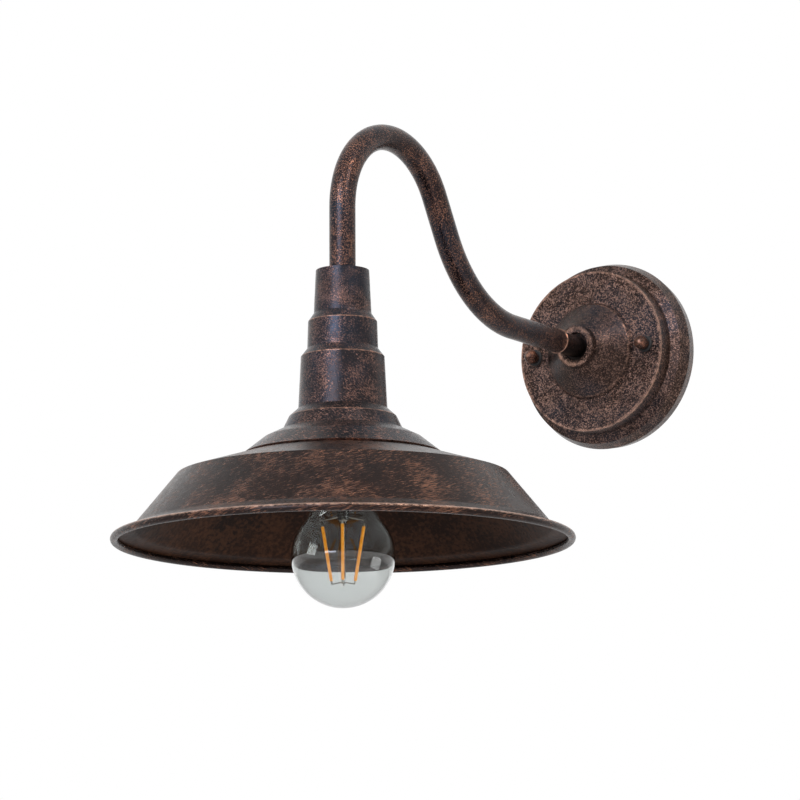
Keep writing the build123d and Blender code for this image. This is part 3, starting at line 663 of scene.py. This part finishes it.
def extrude(x: float, y: float, z: float) -> None:
    """Extrude what is selected.

    Args:
        x: how far along X, in millimetres.
        y: how far along Y.
        z: how far along Z.
    """
    bpy.ops.mesh.extrude_region_move(TRANSFORM_OT_translate={"value": (x * MM, y * MM, z * MM)})


def modify(piece: Piece, kind: str, **settings: object) -> None:
    """Put one modifier on a piece, and apply it.

    Args:
        piece: the piece.
        kind: the modifier's type.
        **settings: its properties.
    """
    pick(piece)
    bpy.ops.object.modifier_add(type=kind)
    modifier = piece.modifiers[-1]
    for name, value in settings.items():
        setattr(modifier, name, value)
    bpy.ops.object.modifier_apply(modifier=modifier.name)


def mark(piece: Piece, name: str, amount: Callable[[Vector], float]) -> None:
    """Write an amount on each vertex, for a finish to read.

    Args:
        piece: the piece.
        name: the attribute's name.
        amount: gives the amount at a place in millimetres.
    """
    layer = piece.data.attributes.new(name, "FLOAT", "POINT")
    for vertex, value in zip(piece.data.vertices, layer.data):
        value.value = amount(vertex.co / MM)


def face_outwards(piece: Piece) -> None:
    """Turn an open turned shell's faces away from its axis, and leave edit mode.

    Args:
        piece: the shell, in edit mode, about the Z axis.
    """
    mesh = bmesh.from_edit_mesh(piece.data)
    mesh.normal_update()
    outward = sum(face.calc_area() * (face.normal.x * face.calc_center_median().x
                                      + face.normal.y * face.calc_center_median().y) for face in mesh.faces)
    bpy.ops.mesh.select_all(action="SELECT")
    if outward < 0:
        bpy.ops.mesh.flip_normals()
    bpy.ops.object.mode_set(mode="OBJECT")


def turned(name: str, rings: Sequence[Ring], segments: int) -> Piece:
    """Model a turned form: a circle extruded and scaled from ring to ring. Its corners stay sharp.

    Args:
        name: the piece's name.
        rings: the outline's corners in order. A radius of 0 closes the form in a pole.
        segments: faces round the form.

    Returns:
        The piece, about the Z axis.
    """
    deselect()
    bpy.ops.mesh.primitive_circle_add(vertices=segments, radius=rings[0].radius * MM)
    piece = bpy.context.object
    piece.name = name
    edit(piece)
    bpy.ops.transform.translate(value=(0.0, 0.0, rings[0].height * MM))
    for before, ring in zip(rings, rings[1:]):
        extrude(0.0, 0.0, ring.height - before.height)
        if ring.radius == 0:
            bpy.ops.mesh.merge(type="CENTER")
        else:
            grow = ring.radius / before.radius
            bpy.ops.transform.resize(value=(grow, grow, 1.0), center_override=(0.0, 0.0, ring.height * MM))
    face_outwards(piece)
    return piece


def even_rows(piece: Piece, spacing: float) -> None:
    """Subdivide a turned piece's long faces along its outline.

    Args:
        piece: the piece, about the Z axis.
        spacing: the longest row that is left.
    """
    edit(piece)
    bpy.ops.mesh.select_mode(type="EDGE")

    def cuts_for(edge: bmesh.types.BMEdge) -> int:
        """How many cuts an edge along the outline needs. Edges round the axis need none."""
        start, end = (vertex.co for vertex in edge.verts)
        if abs(start.xy.length - end.xy.length) < SAME and abs(start.z - end.z) < SAME:
            return 0
        return math.ceil(edge.calc_length() / (spacing * MM) - 0.05) - 1

    needed = {cuts_for(edge) for edge in bmesh.from_edit_mesh(piece.data).edges} - {-1, 0}
    for cuts in sorted(needed, reverse=True):
        select_edges(piece, lambda edge: cuts_for(edge) == cuts)
        bpy.ops.mesh.subdivide(number_cuts=cuts)
    bpy.ops.mesh.select_mode(type="VERT")
    bpy.ops.object.mode_set(mode="OBJECT")


def mark_plain(piece: Piece, bands: Sequence[tuple[float, float, float]]) -> None:
    """Write how much of the copper is left off each vertex of a turned piece.

    Args:
        piece: the piece, about the Z axis.
        bands: the inner radius, outer radius and amount of each plainer band.
    """
    mark(piece, "plain", lambda place: max(
        (amount for low, high, amount in bands if low < place.xy.length < high), default=0.0,
    ))


def mark_wear_and_highlight(piece: Piece, marks: Sequence[WearAndHighlight]) -> None:
    """Write how rubbed each vertex of a turned piece is, by its distance from the worn rings; the same amount
    paints a highlight there.

    Args:
        piece: the piece, about the Z axis.
        marks: its worn rings.
    """
    mark(piece, "wear_and_highlight", lambda place: max(one.at(place) for one in marks))


def thicken(piece: Piece, wall: float, further: int = 0) -> None:
    """Give a shell its wall on the inside.

    Args:
        piece: the shell.
        wall: its thickness.
        further: how many material slots further the inner wall and the cut edge take their finish from.
    """
    modify(piece, "SOLIDIFY", thickness=wall * MM, offset=-1.0, use_even_offset=True,
           material_offset=further, material_offset_rim=further)


def smooth(piece: Piece, angle: float = 32.0) -> None:
    """Shade a piece smooth, apart from its sharp edges.

    Args:
        piece: the piece.
        angle: edges sharper than this, in degrees, stay sharp.
    """
    pick(piece)
    bpy.ops.object.shade_smooth_by_angle(angle=math.radians(angle))


def join(pieces: Sequence[Piece], name: str) -> Piece:
    """Join several meshes into one piece.

    Args:
        pieces: the meshes. The first keeps its data.
        name: the name of the result.

    Returns:
        The joined piece.
    """
    pick(pieces[0])
    for piece in pieces:
        piece.select_set(True)
    bpy.ops.object.join()
    pieces[0].name = name
    return pieces[0]


# ---- sub-assemblies -------------------------------------------------------------------

@dataclass
class SubAssembly:
    """Pieces of the light that are modelled and dressed together."""

    palette: Palette
    reach: float = 313.0        # wall to the lamp's axis

    def dress(self, piece: Piece, slot: str, node: str, body: Body = Body.FIXTURE) -> None:
        """Dress a piece that stands in place, and let it stand for its CAD node.

        Args:
            piece: the piece.
            slot: its finish.
            node: the CAD node.
            body: the body it rides on.
        """
        if not piece.data.materials:
            piece.data.materials.append(self.palette[slot])
        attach(piece, body.value)
        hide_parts(node)
        log.info("%s rides on %s", piece.name, body.value)

    def hang(self, piece: Piece, slot: str, node: str, body: Body = Body.FIXTURE,
             angle: float = 32.0) -> None:
        """Smooth a turned piece, move it to the lamp's axis and dress it.

        Args:
            piece: the piece, about the Z axis.
            slot: its finish.
            node: the CAD node.
            body: the body it rides on.
            angle: edges sharper than this, in degrees, stay sharp.
        """
        smooth(piece, angle)
        place_mesh(piece, (0, -self.reach, 0))
        self.dress(piece, slot, node, body)

    def keep(self, slots: dict[str, Sequence[str]]) -> None:
        """Give carried-over CAD nodes their finishes.

        Args:
            slots: the nodes of each finish.
        """
        for slot, nodes in slots.items():
            for node in nodes:
                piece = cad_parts[node]
                piece.data.materials.clear()
                piece.data.materials.append(self.palette[slot])
                log.info("%s keeps its frame mesh in %s", node, slot)


@dataclass
class WallCanopy(SubAssembly):
    """Pressed canopy with its two ball nuts and their washers."""

    wall: float = 1.0
    depth: float = 31.0
    collar_depth: float = 50.4
    recess_depth: float = 46.0
    ring_radius: float = 61.7
    stud_place: float = 41.6
    stud_hole: float = 2.4
    washer_radius: float = 5.3
    washer_height: float = 2.0
    ball_radius: float = 4.5
    ball_height: float = 3.9    # centre above the washer
    neck_radius: float = 3.4
    thread_clear: float = 2.06  # bore of a nut or washer over its stud
    thread_depth: float = 6.5   # blind hole of a nut

    def outline(self) -> list[Ring]:
        """Give the outline, as radius and distance from the wall.

        Returns:
            Its rings.
        """
        return [
            Ring(5.4, self.recess_depth),
            Ring(9.4, self.recess_depth),
            Ring(9.4, self.collar_depth),
            Ring(13.5, self.collar_depth),
            Ring(14.4, self.recess_depth + self.wall),
            Ring(30.4, self.depth + 3.0),
            Ring(32.2, self.depth),
            Ring(52.9, self.depth),
            Ring(53.6, 19.5),
            Ring(self.ring_radius - 2.4, 17.0),
            Ring(self.ring_radius, 8.5),
            Ring(60.0, 0.0),
        ]

    def shell(self) -> None:
        """Model the pressed shell, with the holes for its two studs."""
        piece = turned("canopy_shell", self.outline(), 192)
        even_rows(piece, 0.8)
        # rubbed copper rings on the collar, front edge, bell crest, side and back edge, lightened as painted
        # highlights
        mark_wear_and_highlight(piece, [
            WearAndHighlight(12.0, self.collar_depth - 0.4, 2.2, 0.5), WearAndHighlight(52.6, self.depth - 0.8, 1.8, 0.62),
            WearAndHighlight(30.6, self.depth + 2.6, 2.0, 0.36), WearAndHighlight(self.ring_radius - 2.0, 16.0, 1.6, 0.3),
            WearAndHighlight(60.0, 0.0, 1.0, 0.4),
        ])
        mark_plain(piece, [(13.0, 30.0, 0.5), (53.2, 62.0, 0.3)])
        thicken(piece, self.wall)
        cutters = []
        for side in (-1, 1):
            deselect()
            bpy.ops.mesh.primitive_cylinder_add(
                vertices=32, radius=self.stud_hole * MM, depth=12 * MM,
                location=(side * self.stud_place * MM, 0.0, self.depth * MM),
            )
            cutters.append(bpy.context.object)
        cutter = join(cutters, "stud_hole_cutter")
        modify(piece, "BOOLEAN", object=cutter, solver="EXACT")
        bpy.data.objects.remove(cutter)
        smooth(piece)
        place_mesh(piece, (0, 0, 0), (90, 0, 0))
        self.dress(piece, "rust_bronze_canopy", "wall_canopy")

    def ball_nut(self, side: int) -> Piece:
        """Model one ball nut: a ball bisected at its foot, with a neck down to the washer.

        Args:
            side: -1 for left, 1 for right.

        Returns:
            The nut.
        """
        deselect()
        foot = self.depth + self.washer_height
        centre = foot + self.ball_height
        bpy.ops.mesh.primitive_uv_sphere_add(
            segments=48, ring_count=32, radius=self.ball_radius * MM, location=(0, 0, centre * MM),
        )
        piece = bpy.context.object
        bpy.ops.object.transform_apply(location=True)
        edit(piece)
        cut = centre - math.sqrt(self.ball_radius ** 2 - self.neck_radius ** 2)
        bpy.ops.mesh.bisect(plane_co=(0, 0, cut * MM), plane_no=(0, 0, -1), clear_outer=True, use_fill=False)
        select_edges(piece, lambda edge: edge.is_boundary)
        extrude(0, 0, foot - cut)
        extrude(0, 0, 0)
        bore = self.thread_clear / self.neck_radius
        bpy.ops.transform.resize(value=(bore, bore, 1.0), center_override=(0, 0, foot * MM))
        extrude(0, 0, self.thread_depth)
        bpy.ops.mesh.edge_face_add()
        close_up()
        piece.name = "ball_nut_right_cap" if side > 0 else "ball_nut_left_cap"
        smooth(piece)
        mark(piece, "wear_and_highlight", lambda place: 0.5 * max(0.0, (place.z - centre) / self.ball_radius) ** 3)
        return place_mesh(piece, (side * self.stud_place, 0, 0), (90, 0, 0))

    def washer(self, side: int) -> Piece:
        """Model one washer with a chamfered front edge. Its bore, on the stud, is left open.

        Args:
            side: -1 for left, 1 for right.

        Returns:
            The washer.
        """
        high, edge = self.depth + self.washer_height, self.washer_radius
        rings = [
            Ring(self.thread_clear, self.depth), Ring(edge, self.depth), Ring(edge, high - 0.5),
            Ring(edge - 0.5, high), Ring(self.thread_clear, high),
        ]
        piece = turned("washer_right_ring" if side > 0 else "washer_left_ring", rings, 64)
        smooth(piece)
        return place_mesh(piece, (side * self.stud_place, 0, 0), (90, 0, 0))

    def build(self) -> None:
        """Build the shell, nuts and washers."""
        self.shell()
        for side, nut, washer, word in ((1, Body.NUT_RIGHT, Body.WASHER_RIGHT, "right"),
                                        (-1, Body.NUT_LEFT, Body.WASHER_LEFT, "left")):
            self.dress(self.ball_nut(side), "bronze_nut", "ball_nut_" + word, nut)
            self.dress(self.washer(side), "black_rubber", "nut_washer_" + word, washer)


@dataclass
class GooseneckArm(SubAssembly):
    """Bent tube and the dark coupler that it sits on."""

    rise: float = 92.6
    crook_radius: float = 52.6
    sweep_radius: float = 87.0
    fall_angle: float = 59.9
    radius: float = 7.7
    wall: float = 1.2
    foot: float = 1.8           # height where it meets the cup
    end_depth: float = 71.0     # wall to its end at the canopy
    lip: float = 0.35           # how far the end's rolled lip stands out
    lip_ramp: float = 0.5       # length over which the tube widens to it
    lip_length: float = 1.1
    edge: float = 0.25          # taken off the sharp edges of its ends

    def tube(self) -> None:
        """Model the tube: a circle extruded, spun over the crook, extruded and spun level."""
        slope = math.radians(self.fall_angle)
        sine, cosine = math.sin(slope), math.cos(slope)
        crook = self.rise - self.crook_radius
        crook_y = -self.reach + self.crook_radius
        start = Vector((0, crook_y + self.crook_radius * sine, crook + self.crook_radius * cosine))
        step = Vector((0, cosine, -sine)) * ((start.z - self.sweep_radius * (1 - cosine)) / sine)
        sweep_y = start.y + step.y + self.sweep_radius * sine
        deselect()
        bpy.ops.mesh.primitive_circle_add(
            vertices=48, radius=self.radius * MM, location=(0, -self.reach * MM, self.foot * MM),
        )
        piece = bpy.context.object
        piece.name = "gooseneck_tube"
        bpy.ops.object.transform_apply(location=True)
        edit(piece)
        extrude(0, 0, crook - self.foot)
        bpy.ops.mesh.spin(
            steps=72, angle=math.pi / 2 + slope, center=(0, crook_y * MM, crook * MM), axis=(1, 0, 0),
        )
        extrude(*step)
        bpy.ops.mesh.spin(
            steps=48, angle=-slope, center=(0, sweep_y * MM, self.sweep_radius * MM), axis=(1, 0, 0),
        )
        extrude(0, -self.end_depth - sweep_y - self.lip_ramp - self.lip_length, 0)
        extrude(0, self.lip_ramp, 0)
        grow = (self.radius + self.lip) / self.radius
        bpy.ops.transform.resize(value=(grow, 1.0, grow), center_override=(0, 0, 0))
        extrude(0, self.lip_length, 0)
        bpy.ops.mesh.select_all(action="SELECT")
        bpy.ops.mesh.remove_doubles(threshold=0.001 * MM)
        mesh = bmesh.from_edit_mesh(piece.data)
        mesh.normal_update()
        axis = Vector((0, -self.reach * MM, 0))
        outward = 0.0
        for face in mesh.faces:
            middle = face.calc_center_median()
            if middle.z < crook * MM and middle.y < -(self.reach - self.radius) * MM:
                outward += (middle - axis).to_2d().dot(face.normal.to_2d())
        if outward < 0:
            bpy.ops.mesh.flip_normals()
        bpy.ops.object.mode_set(mode="OBJECT")
        mark(piece, "wear_and_highlight", lambda place: 0.8 * math.exp(-((place.y + self.end_depth + 0.5) / 1.2) ** 2))
        thicken(piece, self.wall)
        modify(piece, "BEVEL", width=self.edge * MM, segments=3, limit_method="ANGLE",
               angle_limit=math.radians(50))
        smooth(piece)
        self.dress(piece, "rust_bronze_arm", "gooseneck_arm")

    def build(self) -> None:
        """Build the tube, and dress the coupler."""
        self.tube()
        self.keep({"dark_coupler": ("arm_coupler",)})


@dataclass
class SteppedCup(SubAssembly):
    """Spun cup in four tiers over the lampholder."""

    wall: float = 1.0
    top: float = 1.8
    tiers: tuple[tuple[float, float, float], ...] = (
        (15.6, 16.8, 25.6), (20.1, 20.6, 16.0), (24.3, 25.8, 30.5), (31.2, 34.8, 7.5),
    )                           # top radius, foot radius and height
    shoulder: float = 4.8
    skirt: tuple[tuple[float, float], ...] = ((46.0, 5.4), (57.6, 15.6))

    def outline(self, edge_height: float) -> list[Ring]:
        """Work out the outline.

        Args:
            edge_height: the skirt's edge, on the shade.

        Returns:
            Its rings from the top down.
        """
        rings = [Ring(5.4, self.top), Ring(self.tiers[0][0], self.top)]
        height = self.top
        for index, (top, foot, tall) in enumerate(self.tiers):
            if index:
                rings.append(Ring(top, height))
            height -= tall
            rings.append(Ring(foot, height))
            height -= self.shoulder
        bend, edge = self.skirt
        return [*rings, Ring(bend[0], rings[-1].height - bend[1]), Ring(edge[0], edge_height)]

    def build(self, edge_height: float) -> None:
        """Model the cup.

        Args:
            edge_height: the skirt's edge, on the shade.
        """
        rings = self.outline(edge_height)
        piece = turned("cup_shell", rings, 144)
        even_rows(piece, 0.8)
        tier_tops = rings[3:2 * len(self.tiers) + 1:2]    # all but the first
        # rubbed copper on the tier crests, the top edge and the skirt's edge, lightened as painted highlights
        crests = [WearAndHighlight(ring.radius - 0.2, ring.height, 0.7, 0.62) for ring in tier_tops]
        mark_wear_and_highlight(piece, crests + [
            WearAndHighlight(self.tiers[0][0] - 1.0, self.top - 0.6, 1.4, 0.3),
            WearAndHighlight(self.skirt[1][0], edge_height, 0.6, 0.5),
        ])
        thicken(piece, self.wall)
        self.hang(piece, "rust_bronze_cup", "stepped_cup")


@dataclass
class Shade(SubAssembly):
    """Spun shade whose brim is rolled into a hem."""

    wall: float = 0.9
    crown: float = -101.4
    crown_radius: float = 36.0
    hole: float = 20.0
    dome_slope: float = 16.9
    shoulder: float = 96.0
    cone_slope: float = 50.8
    brim_slope: float = 20.0
    rim: float = 133.4
    rim_height: float = -156.6
    bead: float = 2.25
    hem_turn: float = 290.0     # degrees round the bead, up to its tucked end
    hem_steps: int = 15

    def dome_height(self, radius: float) -> float:
        """Height of the dome at a radius.

        Args:
            radius: the radius.

        Returns:
            The height.
        """
        return self.crown - (radius - self.crown_radius) * math.tan(math.radians(self.dome_slope))

    def outline(self) -> list[Ring]:
        """Work out the outline from the crown's hole to the tucked end of the hem.

        Returns:
            Its rings.
        """
        brim = math.radians(self.brim_slope)
        centre = self.rim - self.bead
        shoulder = self.dome_height(self.shoulder)
        touch = (centre + self.bead * math.sin(brim), self.rim_height + self.bead * math.cos(brim))
        cone_fall, brim_fall = math.tan(math.radians(self.cone_slope)), math.tan(brim)
        gap = touch[1] + touch[0] * brim_fall - shoulder - self.shoulder * cone_fall
        foot = gap / (brim_fall - cone_fall)
        rings = [
            Ring(self.hole, self.crown), Ring(self.crown_radius, self.crown), Ring(self.shoulder, shoulder),
            Ring(foot, shoulder - (foot - self.shoulder) * cone_fall),
        ]
        sweep = math.radians(self.hem_turn)
        for index in range(self.hem_steps + 1):
            turn = math.pi / 2 - brim - sweep * index / self.hem_steps
            across, up = self.bead * math.cos(turn), self.bead * math.sin(turn)
            rings.append(Ring(centre + across, self.rim_height + up))
        return rings

    def build(self) -> None:
        """Model the shade."""
        piece = turned("shade_shell", self.outline(), 256)
        even_rows(piece, 1.3)
        # rubbed copper along the top of the rim's bead, lightened as a painted highlight
        mark_wear_and_highlight(piece, [WearAndHighlight(self.rim - 1.0, self.rim_height + 1.7, 1.5, 0.62)])
        for name in ("rust_bronze_shade", "rust_bronze_inside"):
            piece.data.materials.append(self.palette[name])
        thicken(piece, self.wall, further=1)
        self.hang(piece, "rust_bronze_shade", "shade")


@dataclass
class FilamentBulb(SubAssembly):
    """Clear bulb: blown glass, stem, support wires and coated filaments."""

    centre: float = -165.6
    radius: float = 30.0
    length: float = 105.0
    wall: float = 0.8
    cap_length: float = 27.0
    neck: float = 11.4
    neck_height: float = 11.0
    flare: float = 14.3
    flare_drop: float = 3.5
    filament_radius: float = 0.9
    count: int = 4
    top_radius: float = 12.4
    foot_radius: float = 6.5
    top: float = 20.0
    foot: float = -16.5
    turn: float = 33.0
    lead: float = 0.35
    stem_radius: float = 3.2
    stem_foot: float = 1.0      # wide part above the filaments' tops
    lead_root: float = 1.0      # above the foot of the stem's wide part
    lead_lift: float = 0.54     # of each support's end above its filament's top
    rod_radius: float = 1.3
    rod_rounding: float = 0.35  # of a bar's radius, at its ends

    @property
    def mouth(self) -> float:
        """Height of the cap's mouth."""
        return self.centre - self.radius + self.length - self.cap_length

    def glass_outline(self) -> list[Ring]:
        """Work out the glass from the neck's rim to the pole under the ball.

        Returns:
            Its rings.
        """
        rings = [Ring(self.neck, self.mouth + self.neck_height), Ring(self.neck, self.mouth + 0.8)]
        join_turn = math.radians(38)
        flare = Vector((self.flare, self.mouth - self.flare_drop))
        joint = Vector((self.radius * math.cos(join_turn), self.centre + self.radius * math.sin(join_turn)))
        low = Vector((self.neck, self.mouth + 0.8))
        lean = (joint - flare).normalized()
        tangents = (Vector((0, -1)), (lean + Vector((0.05, -0.1))).normalized(),
                    Vector((math.sin(join_turn), -math.cos(join_turn))))
        for start, end, leave, arrive, steps in ((low, flare, tangents[0], tangents[1], 6),
                                                 (flare, joint, tangents[1], tangents[2], 14)):
            reach = (end - start).length
            for index in range(1, steps + 1):
                t = index / steps
                point = ((2 * t ** 3 - 3 * t ** 2 + 1) * start + (t ** 3 - 2 * t ** 2 + t) * reach * leave
                         + (3 * t ** 2 - 2 * t ** 3) * end + (t ** 3 - t ** 2) * reach * arrive)
                rings.append(Ring(point.x, point.y))
        steps = 40
        for index in range(1, steps + 1):
            angle = join_turn - (join_turn + math.pi / 2) * index / steps
            radius = 0.0 if index == steps else self.radius * math.cos(angle)
            rings.append(Ring(radius, self.centre + self.radius * math.sin(angle)))
        return rings

    def glass(self) -> None:
        """Model the blown glass."""
        piece = turned("bulb_glass_shell", self.glass_outline(), 96)
        thicken(piece, self.wall)
        self.hang(piece, "clear_glass", "bulb_glass", Body.BULB, 60)

    def stem(self) -> None:
        """Model the glass stem: flared foot, pinch and thin rod."""
        high = self.mouth + self.neck_height
        low = self.centre + self.top + self.stem_foot
        end = self.centre + self.foot
        rings = [
            Ring(0.5, high - 0.4), Ring(self.neck - 1.0, high - 0.4), Ring(self.neck - 1.0, high - 1.2),
            Ring(4.8, high - 6.0), Ring(self.stem_radius, low), Ring(self.rod_radius, low - 3.0),
            Ring(self.rod_radius, end + 0.8), Ring(0.0, end),
        ]
        piece = turned("bulb_stem_glass", rings, 48)
        edit(piece)
        select_edges(piece, lambda edge: edge.is_boundary)
        bpy.ops.mesh.edge_face_add()
        close_up()
        self.hang(piece, "clear_glass", "bulb_stem", Body.BULB, 50)

    def ends(self, index: int) -> tuple[Vector, Vector]:
        """Place the two ends of one filament.

        Args:
            index: which filament.

        Returns:
            Its top and foot, about the lamp's axis.
        """
        angle = math.radians(self.turn + index * 360 / self.count)
        out = Vector((math.cos(angle), math.sin(angle), 0))
        return (out * self.top_radius + Vector((0, 0, self.centre + self.top)),
                out * self.foot_radius + Vector((0, 0, self.centre + self.foot)))

    def rod(self, start: Vector, end: Vector, radius: float, vertices: int = 16) -> Piece:
        """Model a round bar with softened ends between two points.

        Args:
            start: one end.
            end: the other end.
            radius: the bar's radius.
            vertices: faces round it.

        Returns:
            The bar, in place.
        """
        deselect()
        line = end - start
        bpy.ops.mesh.primitive_cylinder_add(vertices=vertices, radius=radius * MM, depth=line.length * MM)
        piece = bpy.context.object
        edit(piece)
        select_edges(piece, lambda edge: abs(edge.verts[0].co.z - edge.verts[1].co.z) < SAME)
        bpy.ops.mesh.bevel(offset=radius * self.rod_rounding * MM, segments=3, affect="EDGES")
        bpy.ops.object.mode_set(mode="OBJECT")
        piece.rotation_euler = line.to_track_quat("Z", "Y").to_euler()
        piece.location = (start + end) / 2 * MM + Vector((0, -self.reach * MM, 0))
        pick(piece)
        bpy.ops.object.transform_apply(location=True, rotation=True, scale=True)
        return piece

    def filaments(self) -> None:
        """Model the coated strips, and the bare pins at their ends."""
        coats, pins = [], []
        for index in range(self.count):
            top, foot = self.ends(index)
            line = (top - foot).normalized()
            coats.append(self.rod(foot + line * 2.0, top - line * 3.0, self.filament_radius))
            pins.append(self.rod(foot, foot + line * 2.4, self.filament_radius * 0.6, 12))
            pins.append(self.rod(top - line * 3.4, top, self.filament_radius * 0.62, 12))
        for bars, name, slot in ((coats, "filament_strips", "amber_filament"),
                                 (pins, "filament_pins", "nickel_wire")):
            piece = join(bars, name)
            smooth(piece, 50)
            self.dress(piece, slot, "bulb_filaments", Body.BULB)

    def leads(self) -> None:
        """Model the support wires: four down to the tops, and a spider to the feet."""
        wires = []
        root_height = self.centre + self.top + self.stem_foot + self.lead_root
        for index in range(self.count):
            top, foot = self.ends(index)
            out = Vector((top.x, top.y, 0)).normalized()
            root = out * (self.stem_radius - 0.4) + Vector((0, 0, root_height))
            wires.append(self.rod(root, top + Vector((0, 0, self.lead_lift)), self.lead, 10))
            hub = out * 0.6 + Vector((0, 0, foot.z + self.rod_radius))
            wires.append(self.rod(hub, foot + Vector((0, 0, 0.2)), self.lead, 10))
        piece = join(wires, "filament_supports")
        smooth(piece, 50)
        self.dress(piece, "nickel_wire", "bulb_leads", Body.BULB)

    def build(self) -> None:
        """Build the bulb, and dress its cap."""
        self.glass()
        self.stem()
        self.filaments()
        self.leads()
        self.keep({"nickel_cap": ("bulb_cap",), "black_glass": ("bulb_insulator",),
                   "solder_tip": ("bulb_contact",), "circuit_board": ("bulb_driver",)})


@dataclass
class CarriedParts(SubAssembly):
    """Pieces whose CAD shape is right as it is: bracket, wiring, threaded tubes and lampholder."""

    slots: dict[str, tuple[str, ...]] = field(default_factory=lambda: {
        "zinc_steel": (
            "crossbar", "crossbar_studs", "stud_nuts", "terminal_block_screws", "canopy_washer",
            "canopy_locknut", "canopy_nipple", "arm_end_bush", "lamp_nipple", "cup_washer", "cup_locknut",
            "holder_locknut", "holder_terminal_screws",
        ),
        "brass": ("earth_screw", "earth_lug", "terminal_block_inserts", "centre_contact", "screw_shell",
                  "holder_terminals"),
        "earth_insulation": ("earth_wire",),
        "live_insulation": ("live_wire",),
        "neutral_insulation": ("neutral_wire",),
        "white_nylon": ("terminal_block",),
        "black_phenolic": ("shade_ring", "lampholder_cap", "lampholder_body"),
        "white_ceramic": ("contact_base",),
    })

    def build(self) -> None:
        """Dress each node."""
        self.keep(self.slots)


@dataclass
class Studio:
    """Camera at the photograph's angle, soft lamps, and a pale floor."""

    eye: tuple[float, float, float] = (1053.55, -1818.05, -413.34)
    yaw: float = 33.961         # degrees
    pitch: float = -10.441
    roll: float = -0.332
    focal_pixels: float = 3228.3
    frame_pixels: float = 800.0
    floor_height: float = -700.0
    key_power: float = 21.0
    side_power: float = 14.0
    fill_power: float = 5.0
    ambient: float = 0.12       # the world's light on the object

    def camera(self) -> None:
        """Set the camera."""
        data = bpy.data.cameras.new("photo_camera")
        data.sensor_width = 36.0
        data.lens = self.focal_pixels / self.frame_pixels * data.sensor_width
        data.clip_end = 30.0
        camera = bpy.data.objects.new("photo_camera", data)
        bpy.context.scene.collection.objects.link(camera)
        a, e, roll = (math.radians(value) for value in (self.yaw, self.pitch, self.roll))
        back = Vector((math.sin(a) * math.cos(e), -math.cos(a) * math.cos(e), math.sin(e)))
        right = Vector((math.cos(a), math.sin(a), 0))
        up = back.cross(right)
        turned_right = math.cos(roll) * right + math.sin(roll) * up
        turned_up = -math.sin(roll) * right + math.cos(roll) * up
        pose = Matrix((turned_right, turned_up, back)).transposed().to_4x4()
        pose.translation = Vector(self.eye) * MM
        camera.matrix_world = pose
        bpy.context.scene.camera = camera

    def lamp(self, name: str, at: Sequence[float], aim: Sequence[float], size: tuple[float, float],
             power: float, colour: str, mirrored: bool = True) -> None:
        """Hang one soft lamp.

        Args:
            name: its name.
            at: its place.
            aim: the point it shines at.
            size: its width and height.
            power: its power in watts.
            colour: its colour.
            mirrored: whether shiny surfaces show it.
        """
        data = bpy.data.lights.new(name, "AREA")
        data.shape = "RECTANGLE"
        data.size, data.size_y = (value * MM for value in size)
        data.energy = power
        data.color = linear(colour)[:3]
        lamp = bpy.data.objects.new(name, data)
        bpy.context.scene.collection.objects.link(lamp)
        lamp.location = Vector(at) * MM
        lamp.visible_glossy = mirrored
        lamp.rotation_euler = (Vector(aim) - Vector(at)).to_track_quat("-Z", "Y").to_euler()

    def backdrop(self) -> None:
        """Make the world white to the camera and soft on the object."""
        world = bpy.data.worlds.new("studio_world")
        bpy.context.scene.world = world
        world.use_nodes = True
        tree = world.node_tree
        feed(tree, tree.nodes["Background"], {
            "Color": (1.0, 1.0, 1.0, 1.0), "Strength": looked_at(tree, self.ambient, 1.0),
        })

    def floor(self, palette: Palette) -> None:
        """Lay the floor.

        Args:
            palette: the finishes.
        """
        deselect()
        bpy.ops.mesh.primitive_plane_add(size=8.0, location=(0, 0, self.floor_height * MM))
        plane = bpy.context.object
        plane.name = "studio_floor"
        plane.data.materials.append(palette["studio_paper"])

    def build(self, palette: Palette) -> None:
        """Set everything up.

        Args:
            palette: the finishes.
        """
        self.camera()
        self.backdrop()
        self.floor(palette)
        middle = (0, -190, -40)
        self.lamp("key_softbox", (140, -1650, 420), middle, (700, 1200), self.key_power, "#e3ecff")
        self.lamp("side_softbox", (1250, -750, 1150), middle, (500, 600), self.side_power, "#fff0e6")
        under_shade = (-90, -313, -120)
        self.lamp("low_fill", (1000, 180, -430), under_shade, (500, 400), self.fill_power, "#ffffff", False)
        bpy.context.scene.view_settings.view_transform = "Standard"


def main() -> None:
    """Build the light piece by piece, and report it."""
    logging.basicConfig(level=logging.INFO, format="%(message)s")
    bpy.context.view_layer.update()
    palette = Palette()
    Studio().build(palette)
    WallCanopy(palette).build()
    GooseneckArm(palette).build()
    shade = Shade(palette)
    cup = SteppedCup(palette)
    cup.build(shade.dome_height(cup.skirt[1][0]) + 0.2 + cup.wall)
    shade.build()
    FilamentBulb(palette).build()
    CarriedParts(palette).build()


if __name__ == "__main__":
    main()
